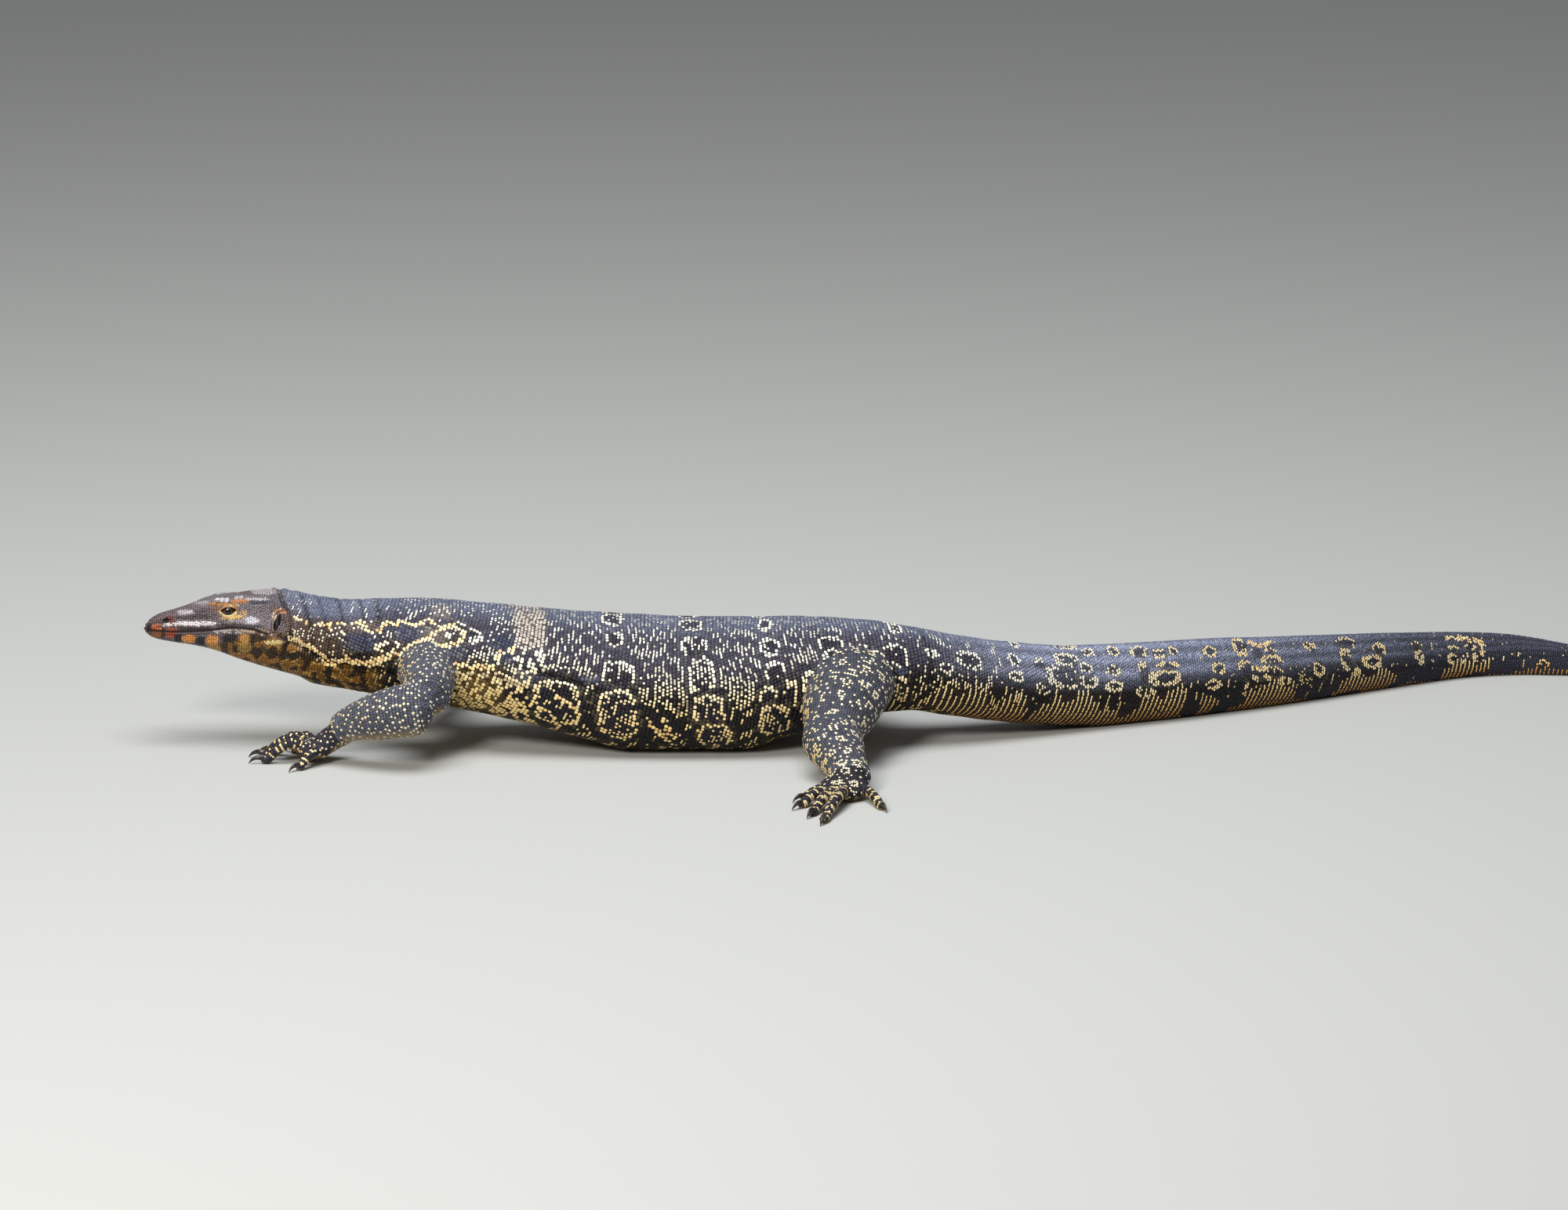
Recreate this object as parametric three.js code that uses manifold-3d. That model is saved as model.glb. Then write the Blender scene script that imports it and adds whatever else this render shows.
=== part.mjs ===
// Water monitor lizard at life size, lying at rest with its head raised and its tail curving away.
// Millimetres, +Z up. The snout points along -X and the tail along +X. The animal's left side faces -Y.
// The origin is the middle of the flat that the belly rests on.
import * as THREE from "three";
import Module from "manifold-3d";

const wasm = await Module();
wasm.setup();

// Driving sizes
const GAP = 0.3; // between neighbouring pieces
const REST = -1.8; // how far a resting form is drawn below the floor before it is pressed flat
const NECK_START = -314; // where the neck begins behind the ears
const TORSO_START = -238; // in front of the shoulders
const TAIL_START = 205; // at the vent
const TAIL_END = 1082; // the tip
const TAIL_CUTS = [TAIL_START, 385, 560, 745, TAIL_END];

// Trunk and tail: x, sideways place, underside, top, half width, lean of the section in degrees
const BODY = [
  [-345, 0, 65, 133, 27, 0],
  [-319, 0, 58, 130, 29.5, 0],
  [-306, 0, 51.5, 127, 31.5, 0],
  [-273, 0, 46, 123, 36, 0],
  [-239, 0, 41, 123.5, 43, 0],
  [-206, 0, 36, 123.5, 50, 0],
  [-173, 0, 30, 120.5, 56, 0],
  [-140, 0, 23, 117, 61, 0],
  [-106, 0, 15, 114, 65, 0],
  [-73, 0, 6, 111.5, 68, 0],
  [-40, 0, REST, 109.5, 70.5, 0],
  [-7, 0, REST, 108, 72, 0],
  [27, 0, REST, 107, 71.5, 0],
  [60, 0, REST, 107, 70, 0],
  [93, 0, 8, 107.5, 66, 0],
  [126, 1, 18, 106.5, 59, 0],
  [160, 3, 25, 104.5, 51, 0],
  [193, 7, 27, 99, 43.5, 0],
  [226, 14, 21.5, 91.5, 38.5, 0],
  [260, 25, 14, 83.5, 36, 0],
  [294, 38, 7, 77, 33.5, 0],
  [328, 52, 2, 71.5, 31, 0],
  [362, 66, REST, 69, 28.8, 0],
  [396, 80, REST, 67.5, 26.7, 0],
  [430, 95, REST, 66, 24.6, 0],
  [465, 112, REST, 64, 22.6, 0],
  [500, 130, REST, 60.5, 20.6, 0],
  [535, 150, REST, 57, 18.8, 0],
  [571, 172, REST, 53, 17, 0],
  [606, 194, REST, 49, 15.4, 0],
  [642, 216, REST, 44.5, 13.9, 0],
  [677, 235, REST, 40.5, 12.4, 0],
  [712, 247, REST, 36.5, 11.2, 8],
  [747, 252, REST, 33, 10.2, 30],
  [790, 250, REST, 29.5, 9.1, 50],
  [840, 240, REST, 25.8, 7.9, 56],
  [900, 221, REST, 21.4, 6.6, 56],
  [960, 200, REST, 17, 5.3, 54],
  [1020, 182, REST, 12.4, 3.9, 50],
  [1060, 173, REST, 8.6, 2.7, 46],
  [TAIL_END, 169, REST, 4.6, 1.5, 44],
];
// Roundness of the section: x, height share of the widest place, upper exponent, lower exponent
const ROUNDNESS = [
  [-345, 0.45, 2.2, 2.0],
  [-273, 0.46, 2.1, 2.1],
  [-173, 0.44, 2.1, 2.2],
  [0, 0.42, 2.0, 2.5],
  [126, 0.44, 2.0, 2.3],
  [205, 0.45, 2.0, 2.2],
  [294, 0.44, 1.85, 2.2],
  [430, 0.42, 1.65, 2.3],
  [606, 0.4, 1.5, 2.3],
  [TAIL_END, 0.42, 1.5, 2.1],
];

// Head: x, crown, brow height, brow half width, lip half width, mouth line, jaw half width, chin
const HEAD = [
  [-446.5, 101.5, 100.8, 2.6, 4.2, 98.6, 3.6, 95.5],
  [-444.5, 105.2, 103.8, 4.8, 7.0, 98.8, 6.2, 93.2],
  [-440, 109, 106.8, 6.6, 9.4, 98.8, 8.8, 90.8],
  [-434, 112, 109.4, 8.2, 11.4, 98.6, 10.8, 89.2],
  [-424, 115, 112, 9.6, 13.4, 98.8, 12.8, 87.4],
  [-410, 119.6, 116.2, 11.4, 16.0, 99.6, 15.4, 85.4],
  [-396, 125.2, 121.6, 14.6, 18.6, 100.8, 18.0, 82.6],
  [-384, 127.4, 126.2, 15.4, 21.2, 102.6, 20.4, 79.0],
  [-370, 128.8, 126.8, 16.6, 23.8, 104.2, 23.2, 73.6],
  [-356, 131.2, 125.8, 17.6, 26.2, 103.6, 26.4, 69.0],
  [-342, 132.6, 124.4, 19.6, 28.0, 99.8, 28.8, 65.0],
  [-330, 132, 122, 21.4, 28.8, 96.5, 29.4, 61.6],
  [-316, 130, 118, 24, 29.8, 93, 30, 57.2],
  [-300, 126, 112, 26, 31, 90, 31, 50],
];
const HEAD_BLEND = [-334, -302]; // the head's section turns into the neck's between these
const LORE_HOLLOW = 0.9; // how far the side of the snout is sunk between brow and lip
const LIP_RISE = 4.2; // of the upper lip's ridge over the mouth line
const MOUTH_CORNER = -342;
const MOUTH_DEPTH = 1.3;
const MOUTH_HALF = 0.55;

// Eyes, lids, nostrils and ears
const EYE = { x: -375.5, z: 116.8, side: 13.6, radius: 7.0, lid: 0.85 };
const EYE_OPENING = { length: 13.6, up: 3.3, down: 3.0, tilt: 3 };
const NOSTRIL = { x: -429, z: 107.6, size: [2.7, 2.2, 2.1], rim: 1.1 };
const EAR = { x: -333, z: 110.5, size: [5.2, 3.4, 8.6], rim: 1.5 };

// Legs: each form is a row of x, y, z, half width, half thickness
const LEFT_ARM = [
  [-208, -22, 78, 27, 27],
  [-207, -50, 72, 24, 24],
  [-205, -78, 64, 21, 22],
  [-206, -98, 57, 18, 19],
];
const LEFT_FOREARM = [
  [-200, -99, 54, 19, 20],
  [-220, -97, 51, 22, 22.5],
  [-246, -90, 44, 20, 20.5],
  [-268, -81, 36, 16, 15.5],
  [-286, -74, 27, 14.5, 12],
];
const LEFT_THIGH = [
  [152, -14, 66, 38, 32],
  [149, -44, 60, 37, 30],
  [141, -78, 47, 33, 27],
  [133, -108, 34, 26, 22],
];
const LEFT_SHANK = [
  [131, -102, 34, 24, 22],
  [134, -126, 29, 26, 21],
  [141, -152, 22, 21, 17],
  [148, -176, 17, 17, 13],
  [149, -190, 14, 17, 11],
];
const RIGHT_ARM = [
  [-208, 22, 78, 27, 27],
  [-204, 50, 73, 24, 24],
  [-196, 82, 65, 21, 22],
  [-188, 108, 57, 18, 19],
];
const RIGHT_FOREARM = [
  [-188, 103, 55, 19, 20],
  [-187, 123, 50, 22, 22.5],
  [-188, 148, 43, 20, 20.5],
  [-190, 168, 34, 16, 15.5],
  [-192, 186, 26, 14.5, 12],
];
const RIGHT_THIGH = [
  [152, 14, 66, 38, 32],
  [145, 44, 60, 37, 30],
  [126, 78, 50, 33, 27],
  [110, 104, 39, 26, 22],
];
const RIGHT_SHANK = [
  [112, 100, 38, 24, 22],
  [116, 124, 32, 26, 21],
  [128, 148, 24, 21, 17],
  [140, 172, 18, 17, 13],
  [146, 188, 14, 17, 11],
];

// Feet: where the wrist or ankle stands, and the way that the toes point
const HAND_PALM = [
  // forward, sideways, height, half width, half thickness
  [-9, 0, 29, 14.5, 12],
  [6, 0, 22, 16.5, 11],
  [20, 0, 12.5, 18, 9.8],
  [35, -1, 7, 17.5, 7.8],
];
const HAND_TOES = [
  // base forward, base sideways, tip forward, tip sideways, arch, thickness, claw
  [28, -14, 47, -25, 21, 4.8, 10],
  [32, -8, 64, -16, 22, 5, 12],
  [33, 0, 69, -2, 22, 5.2, 12],
  [30, 8, 65, 16, 21, 5.1, 12],
  [14, 13, 31, 36, 17, 4.8, 11],
];
const FOOT_SOLE = [
  [-10, 0, 17, 16.5, 12],
  [8, -1, 13.5, 19, 11],
  [22, -5, 9.2, 20, 9.4],
  [38, -8, 6.2, 18, 7.6],
];
const FOOT_TOES = [
  [14, -17, 36, -37, 11, 4.8, 11],
  [32, -19, 60, -36, 12.5, 5, 12],
  [36, -11, 85, -24, 14, 5.2, 12],
  [36, -2, 106, -12, 15, 5.4, 13],
  [20, 13, 58, 31, 12, 4.8, 12],
];
const FEET = {
  left_forefoot: { at: [-278, -72], points: 172, side: 1, palm: HAND_PALM, toes: HAND_TOES },
  right_forefoot: { at: [-191, 178], points: 96, side: -1, palm: HAND_PALM, toes: HAND_TOES },
  left_hindfoot: { at: [149, -176], points: 264, side: 1, palm: FOOT_SOLE, toes: FOOT_TOES },
  right_hindfoot: { at: [141, 174], points: 76, side: -1, palm: FOOT_SOLE, toes: FOOT_TOES },
};

// How finely each form is faceted
const NECK_SIDES = 28;
const TORSO_SIDES = 28;
const TAIL_SIDES = [22, 20, 18, 16];
const BODY_STEP = 17; // between the rings of neck, torso and tail
const LEG_SIDES = 12;
const TOE_SIDES = 6;
const CLAW_SIDES = 5;
const EYE_SIDES = [14, 10];

// Numbers and curves
const { sin, cos, sign, abs, min, max, hypot, PI } = Math;
const radians = (degrees) => (degrees * PI) / 180;
const mix = (a, b, t) => a + (b - a) * t;
const clamp = (v, low, high) => min(max(v, low), high);
const power = (v, p) => sign(v) * abs(v) ** p;

function smoothStep(low, high, x) {
  const t = clamp((x - low) / (high - low), 0, 1);
  return t * t * (3 - 2 * t);
}

// A curve through the rows of a table that never overshoots them: its slope at a row is the
// harmonic mean of the slopes beside it, or none where they point opposite ways.
function along(rows, column, x) {
  const last = rows.length - 1;
  if (x <= rows[0][0]) return rows[0][column];
  if (x >= rows[last][0]) return rows[last][column];
  let i = 0;
  while (x > rows[i + 1][0]) i++;
  const rise = (k) => (rows[k + 1][column] - rows[k][column]) / (rows[k + 1][0] - rows[k][0]);
  const slope = (k) => {
    if (k === 0) return rise(0);
    if (k === last) return rise(last - 1);
    const before = rise(k - 1);
    const after = rise(k);
    return before * after > 0 ? (2 * before * after) / (before + after) : 0;
  };
  const length = rows[i + 1][0] - rows[i][0];
  const t = (x - rows[i][0]) / length;
  const h = t * t * (3 - 2 * t);
  const start = t * (1 - t) * (1 - t) * length * slope(i);
  const end = t * t * (t - 1) * length * slope(i + 1);
  return mix(rows[i][column], rows[i + 1][column], h) + start + end;
}

// Closed meshes and solids
function closedSolid(rings) {
  const sides = rings[0].length;
  const positions = rings.flat(2);
  const centre = (ring) => [0, 1, 2].map((k) => ring.reduce((sum, p) => sum + p[k], 0) / sides);
  const first = rings.length * sides;
  positions.push(...centre(rings[0]), ...centre(rings.at(-1)));
  const faces = [];
  for (let r = 0; r < rings.length - 1; r++) {
    for (let s = 0; s < sides; s++) {
      const a = r * sides + s;
      const b = r * sides + ((s + 1) % sides);
      faces.push(a, b, b + sides, a, b + sides, a + sides);
    }
  }
  const end = (rings.length - 1) * sides;
  for (let s = 0; s < sides; s++) {
    const next = (s + 1) % sides;
    faces.push(first, next, s, first + 1, end + s, end + next);
  }
  return orientedSolid(positions, faces);
}

function orientedSolid(positions, faces) {
  const make = (order) =>
    new wasm.Manifold(
      new wasm.Mesh({
        numProp: 3,
        vertProperties: new Float32Array(positions),
        triVerts: new Uint32Array(order),
      }),
    );
  const made = make(faces);
  if (made.volume() > 0) return made;
  const turned = [];
  for (let i = 0; i < faces.length; i += 3) turned.push(faces[i], faces[i + 2], faces[i + 1]);
  return make(turned);
}

function solidOf(geometry) {
  const source = geometry.index ? geometry.toNonIndexed() : geometry;
  const values = source.attributes.position.array;
  const places = new Map();
  const positions = [];
  const corners = [];
  for (let i = 0; i < values.length; i += 3) {
    const point = [values[i], values[i + 1], values[i + 2]];
    const key = point.map((v) => Math.round(v * 1e3)).join();
    if (!places.has(key)) {
      places.set(key, places.size);
      positions.push(...point);
    }
    corners.push(places.get(key));
  }
  const faces = [];
  for (let i = 0; i < corners.length; i += 3) {
    const [a, b, c] = corners.slice(i, i + 3);
    if (a !== b && b !== c && a !== c) faces.push(a, b, c);
  }
  return orientedSolid(positions, faces);
}

function ball(centre, size, [across, down] = [12, 8]) {
  const geometry = new THREE.SphereGeometry(1, across, down);
  geometry.rotateX(PI / 2).scale(...size).translate(...centre);
  return solidOf(geometry);
}

const largest = (solid) =>
  solid.decompose().reduce((best, piece) => (piece.volume() > best.volume() ? piece : best));

// Everything under the floor
const BELOW = solidOf(new THREE.BoxGeometry(2400, 1400, 200).translate(200, 0, -100));

// Sections of the body, from the middle of the back (0) round the left side to the belly (180)
function bodyHalfPoint(x, degrees, grow) {
  const low = along(BODY, 2, x) - grow;
  const high = along(BODY, 3, x) + grow;
  const half = along(BODY, 4, x) + grow;
  const widest = mix(low, high, along(ROUNDNESS, 1, x));
  const t = radians(degrees);
  const upper = degrees <= 90;
  const exponent = 2 / along(ROUNDNESS, upper ? 2 : 3, x);
  const reach = upper ? high - widest : widest - low;
  return [half * power(sin(t), exponent), widest + reach * power(cos(t), exponent)];
}

function headKeys(x) {
  const [crown, browZ, brow, lip, mouth, jaw, chin] = [1, 2, 3, 4, 5, 6, 7].map((k) =>
    along(HEAD, k, x),
  );
  const lipZ = mouth + min(LIP_RISE, (browZ - mouth) * 0.4);
  const jawZ = mouth - min(LIP_RISE, (mouth - chin) * 0.35);
  return [
    [-24, -0.58 * brow, mix(crown, browZ, 0.3)],
    [0, 0, crown],
    [24, 0.58 * brow, mix(crown, browZ, 0.3)],
    [44, brow, browZ],
    [66, mix(brow, lip, 0.55) - LORE_HOLLOW, mix(browZ, lipZ, 0.55)],
    [82, lip, lipZ],
    [91, lip - 0.5, mouth],
    [101, jaw, jawZ],
    [130, 0.84 * jaw, mix(jawZ, chin, 0.62)],
    [156, 0.46 * jaw, mix(jawZ, chin, 0.94)],
    [180, 0, chin],
    [204, -0.46 * jaw, mix(jawZ, chin, 0.94)],
  ];
}

function headHalfPoint(x, degrees, grow) {
  const keys = headKeys(x);
  const y = along(keys, 1, degrees);
  const z = along(keys, 2, degrees);
  return [y + grow * sin(radians(degrees)), z + grow * cos(radians(degrees))];
}

function halfPoint(x, degrees, grow) {
  const neckShare = smoothStep(...HEAD_BLEND, x);
  if (neckShare === 0) return headHalfPoint(x, degrees, grow);
  const body = bodyHalfPoint(x, degrees, grow);
  if (neckShare === 1) return body;
  const head = headHalfPoint(x, degrees, grow);
  return [mix(head[0], body[0], neckShare), mix(head[1], body[1], neckShare)];
}

// One closed ring round the body, square to the way it runs in plan
function bodyRing(x, angles, grow = 0) {
  const flat = angles.map((degrees) => {
    const [across, height] = halfPoint(x, min(degrees, 360 - degrees), grow);
    return [degrees <= 180 ? -across : across, height];
  });
  const lean = radians(along(BODY, 5, x));
  const low = along(BODY, 2, x) - grow;
  const middle = (low + along(BODY, 3, x) + grow) / 2;
  const leant = flat.map(([across, height]) => [
    across * cos(lean) + (height - middle) * sin(lean),
    middle - across * sin(lean) + (height - middle) * cos(lean),
  ]);
  const drop = lean > 0 ? low - min(...leant.map((point) => point[1])) : 0;
  const turn = Math.atan2(along(BODY, 1, x + 1) - along(BODY, 1, x - 1), 2);
  const side = along(BODY, 1, x);
  return leant.map(([across, height]) => [
    x - across * sin(turn),
    side + across * cos(turn),
    max(height + drop, -grow),
  ]);
}

const evenAngles = (sides) => Array.from({ length: sides }, (_, s) => (360 * s) / sides);

function bodyLength(start, end, sides, grow = 0) {
  const angles = evenAngles(sides);
  const count = Math.ceil((end - start) / BODY_STEP);
  const from = start + GAP / 2 - grow;
  const to = end - GAP / 2 + grow;
  const rings = [];
  for (let i = 0; i <= count; i++) rings.push(bodyRing(mix(from, to, i / count), angles, grow));
  return closedSolid(rings);
}

// Half the head's or body's width at a height, found on the section's own curve
function sideAt(x, z) {
  let before = halfPoint(x, 20, 0);
  for (let degrees = 22; degrees <= 170; degrees += 2) {
    const now = halfPoint(x, degrees, 0);
    if (now[1] <= z) return mix(before[0], now[0], (before[1] - z) / (before[1] - now[1]));
    before = now;
  }
  return before[0];
}

// A rounded form along a curve through rows of x, y, z, half width, half thickness
function form(rows, { sides = LEG_SIDES, rings = 8, grow = 0, blunt = 0.8 } = {}) {
  const points = rows.map((row) => new THREE.Vector3(...row));
  const curve = new THREE.CatmullRomCurve3(points, false, "centripetal");
  const length = curve.getLength();
  const sizes = rows.map((row, i) => [i, row[3], row[4]]);
  let startRound = blunt * rows[0][4];
  let endRound = blunt * rows.at(-1)[4];
  const share = min(1, (0.8 * length) / (startRound + endRound));
  startRound *= share;
  endRound *= share;
  const places = [0.02 * startRound, 0.3 * startRound];
  for (let i = 0; i < rings; i++) {
    places.push(mix(startRound, length - endRound, i / (rings - 1)));
  }
  places.push(length - 0.3 * endRound, length - 0.02 * endRound);
  const shell = places.map((place) => {
    const u = clamp(place / length, 0, 1);
    const centre = curve.getPointAt(u);
    const run = curve.getTangentAt(u);
    const index = curve.getUtoTmapping(u) * (rows.length - 1);
    const fromStart = clamp(place / startRound, 0, 1);
    const fromEnd = clamp((length - place) / endRound, 0, 1);
    const rounding = Math.sqrt((1 - (1 - fromStart) ** 2) * (1 - (1 - fromEnd) ** 2));
    const width = along(sizes, 1, index) * rounding + grow;
    const thickness = along(sizes, 2, index) * rounding + grow;
    const across = new THREE.Vector3(0, 0, 1).cross(run).normalize();
    const up = run.clone().cross(across);
    const reach = place < length / 2 ? -grow : grow;
    centre.addScaledVector(run, fromStart < 1 || fromEnd < 1 ? reach : 0);
    return evenAngles(sides).map((degrees) => {
      const t = radians(degrees - 90);
      const point = centre.clone();
      point.addScaledVector(across, width * cos(t)).addScaledVector(up, thickness * sin(t));
      return point.toArray();
    });
  });
  return closedSolid(shell);
}

// Head
const HEAD_HALF_ANGLES = [0, 14, 28, 44, 55, 66, 75, 82, 91, 101, 115, 130, 143, 156, 168];
const HEAD_ANGLES = [
  ...HEAD_HALF_ANGLES,
  180,
  ...HEAD_HALF_ANGLES.slice(1).reverse().map((degrees) => 360 - degrees),
];

function eyeOpening(side) {
  const { length, up, down, tilt } = EYE_OPENING;
  const outline = new THREE.Shape();
  outline.moveTo(-length / 2, 0);
  outline.quadraticCurveTo(0, 2 * up, length / 2, 0);
  outline.quadraticCurveTo(0, -2 * down, -length / 2, 0);
  const depth = EYE.radius + 6;
  const geometry = new THREE.ExtrudeGeometry(outline, {
    depth,
    bevelEnabled: false,
    curveSegments: 6,
  });
  geometry.rotateZ(radians(tilt)).rotateX(PI / 2).translate(EYE.x, -EYE.side - 2, EYE.z);
  geometry.scale(1, side, 1);
  return solidOf(geometry);
}

function mouthGroove() {
  const steps = 13;
  const half = [];
  for (let i = 0; i <= steps; i++) {
    const x = mix(MOUTH_CORNER, HEAD[1][0], (i / steps) ** 0.85);
    const z = along(HEAD, 5, x);
    half.push([x, -sideAt(x, z), z]);
  }
  const front = HEAD[0][0];
  const path = [...half, [front - 0.1, -3.6, HEAD[0][5]], [front - 0.4, 0, HEAD[0][5]]];
  for (const [x, y, z] of [...path].slice(0, -1).reverse()) path.push([x, -y, z]);
  const rings = path.map(([x, y, z], i) => {
    const before = path[max(i - 1, 0)];
    const after = path[min(i + 1, path.length - 1)];
    const run = hypot(after[0] - before[0], after[1] - before[1]);
    const out = [(after[1] - before[1]) / run, -(after[0] - before[0]) / run];
    const facing = out[0] * (x + 400) + out[1] * y > 0 ? 1 : -1;
    const tip = i === 0 || i === path.length - 1 ? 0.3 : 1;
    const place = (reach, rise) => [x + facing * out[0] * reach, y + facing * out[1] * reach, z + rise];
    return [
      place(0.9, 1.5 * MOUTH_HALF * tip),
      place(-MOUTH_DEPTH * tip, 0),
      place(0.9, -1.5 * MOUTH_HALF * tip),
    ];
  });
  return closedSolid(rings);
}

function earRim(side) {
  const points = [];
  for (let degrees = 70; degrees <= 250; degrees += 30) {
    const x = EAR.x + (EAR.size[0] + 0.6) * cos(radians(degrees));
    const z = EAR.z + (EAR.size[2] + 0.4) * sin(radians(degrees));
    points.push(new THREE.Vector3(x, side * (sideAt(x, z) - 0.3), z));
  }
  const rim = new THREE.CatmullRomCurve3(points, false, "centripetal");
  const rings = [];
  for (let i = 0; i <= 9; i++) {
    const centre = rim.getPoint(i / 9);
    const radius = EAR.rim * Math.sqrt(max(0.08, 1 - (2 * (i / 9) - 1) ** 4));
    const run = rim.getTangent(i / 9);
    const out = new THREE.Vector3(0, side, 0);
    const across = run.clone().cross(out).normalize();
    rings.push(
      evenAngles(6).map((degrees) => {
        const t = radians(degrees);
        return centre
          .clone()
          .addScaledVector(out, radius * cos(t))
          .addScaledVector(across, radius * sin(t))
          .toArray();
      }),
    );
  }
  return closedSolid(rings);
}

function headSolid() {
  const stations = [];
  for (let i = 0; i < HEAD.length - 1; i++) {
    const [x, next] = [HEAD[i][0], min(HEAD[i + 1][0], NECK_START - GAP / 2)];
    if (x >= next) break;
    stations.push(x);
    if (next - x > 9) stations.push((x + next) / 2);
  }
  stations.push(NECK_START - GAP / 2);
  let head = closedSolid(stations.map((x) => bodyRing(x, HEAD_ANGLES)));
  for (const side of [-1, 1]) {
    const eyeAt = [EYE.x, side * EYE.side, EYE.z];
    const lid = EYE.radius + GAP + EYE.lid;
    head = head.add(ball(eyeAt, [lid, lid, lid], EYE_SIDES));
    const nostrilAt = [NOSTRIL.x, side * (sideAt(NOSTRIL.x, NOSTRIL.z) - 0.4), NOSTRIL.z];
    const rim = NOSTRIL.size.map((size, k) => (k === 1 ? size - 0.6 : size + NOSTRIL.rim));
    head = head.add(ball(nostrilAt, rim, [10, 6])).add(earRim(side));
  }
  for (const side of [-1, 1]) {
    const cavity = EYE.radius + GAP;
    const nostrilY = side * (sideAt(NOSTRIL.x, NOSTRIL.z) + 0.4);
    const earY = side * (sideAt(EAR.x, EAR.z) + 0.6);
    head = head
      .subtract(ball([EYE.x, side * EYE.side, EYE.z], [cavity, cavity, cavity], EYE_SIDES))
      .subtract(eyeOpening(-side))
      .subtract(ball([NOSTRIL.x, nostrilY, NOSTRIL.z], NOSTRIL.size, [8, 6]))
      .subtract(ball([EAR.x, earY, EAR.z], EAR.size));
  }
  return largest(head.subtract(mouthGroove()));
}

const eyeSolid = (side) =>
  ball([EYE.x, side * EYE.side, EYE.z], [EYE.radius, EYE.radius, EYE.radius], EYE_SIDES);

// Feet: toes arch from the palm to a pad on the floor and end in a curved claw
function footSolid({ at, points, side, palm, toes }) {
  const ahead = [cos(radians(points)), sin(radians(points))];
  const beside = [-side * ahead[1], side * ahead[0]];
  const place = ([forward, sideways, z, ...sizes]) => [
    at[0] + forward * ahead[0] + sideways * beside[0],
    at[1] + forward * ahead[1] + sideways * beside[1],
    z,
    ...sizes,
  ];
  let foot = form(palm.map(place), { rings: 4 });
  for (const [baseF, baseS, tipF, tipS, arch, thick, claw] of toes) {
    const toeRow = (share, z, size) => [
      mix(baseF, tipF, share),
      mix(baseS, tipS, share),
      z,
      size,
      size,
    ];
    const rows = [
      toeRow(-0.12, 8.5, 0.95 * thick),
      toeRow(0.3, arch - 4, thick),
      toeRow(0.66, 0.55 * arch, 0.86 * thick),
      toeRow(0.92, 0.62 * thick, 0.8 * thick),
      toeRow(1.06, 0.62 * thick, 0.7 * thick),
    ];
    foot = foot.add(form(rows.map(place), { sides: TOE_SIDES, rings: 4 }));
    const run = hypot(tipF - baseF, tipS - baseS);
    const [stepF, stepS] = [(tipF - baseF) / run, (tipS - baseS) / run];
    const nail = [
      [-3, 0.8 * thick, 0.52 * thick],
      [0.35 * claw, 1.0 * thick, 0.44 * thick],
      [0.75 * claw, 0.72 * thick, 0.28 * thick],
      [claw, 0.6, 0.4],
    ].map(([out, z, size]) => [tipF + out * stepF, tipS + out * stepS, z, size, size]);
    foot = foot.add(form(nail.map(place), { sides: CLAW_SIDES, rings: 3, blunt: 0.3 }));
  }
  return foot;
}

// A leg's pieces, each cut clear of the piece that it grows from
function legSolids(upperRows, lowerRows, foot, torso) {
  const upper = largest(form(upperRows, { rings: 6 }).subtract(torso));
  const upperRoom = form(upperRows, { rings: 6, grow: GAP });
  const lower = largest(form(lowerRows, { rings: 7 }).subtract(upperRoom).subtract(torso));
  const above = form(lowerRows, { rings: 7, grow: GAP });
  const flat = footSolid(foot).subtract(BELOW);
  return [upper, lower, largest(flat.subtract(above))];
}

const torso = bodyLength(TORSO_START, TAIL_START, TORSO_SIDES);
const torsoRoom = bodyLength(TORSO_START, TAIL_START, TORSO_SIDES, GAP);
const LEGS = {
  left_fore: ["upper_arm", "forearm", LEFT_ARM, LEFT_FOREARM],
  right_fore: ["upper_arm", "forearm", RIGHT_ARM, RIGHT_FOREARM],
  left_hind: ["thigh", "shank", LEFT_THIGH, LEFT_SHANK],
  right_hind: ["thigh", "shank", RIGHT_THIGH, RIGHT_SHANK],
};

// Colours and assembly
const HIDE = { color: 0x4c4a50, roughness: 0.55 };
const PALE_HIDE = { color: 0x6f6860, roughness: 0.6 };
const CORNEA = { color: 0x1c120c, roughness: 0.12 };

function piece(name, solid, look) {
  const mesh = solid.getMesh();
  const geometry = new THREE.BufferGeometry();
  const points = new Float32Array(mesh.numVert * 3);
  for (let i = 0; i < mesh.numVert; i++) {
    const from = i * mesh.numProp;
    points.set(mesh.vertProperties.subarray(from, from + 3), i * 3);
  }
  geometry.setAttribute("position", new THREE.BufferAttribute(points, 3));
  geometry.setIndex(new THREE.BufferAttribute(mesh.triVerts, 1));
  geometry.computeVertexNormals();
  const made = new THREE.Mesh(geometry, new THREE.MeshStandardMaterial({ metalness: 0, ...look }));
  made.name = name;
  return made;
}

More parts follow.
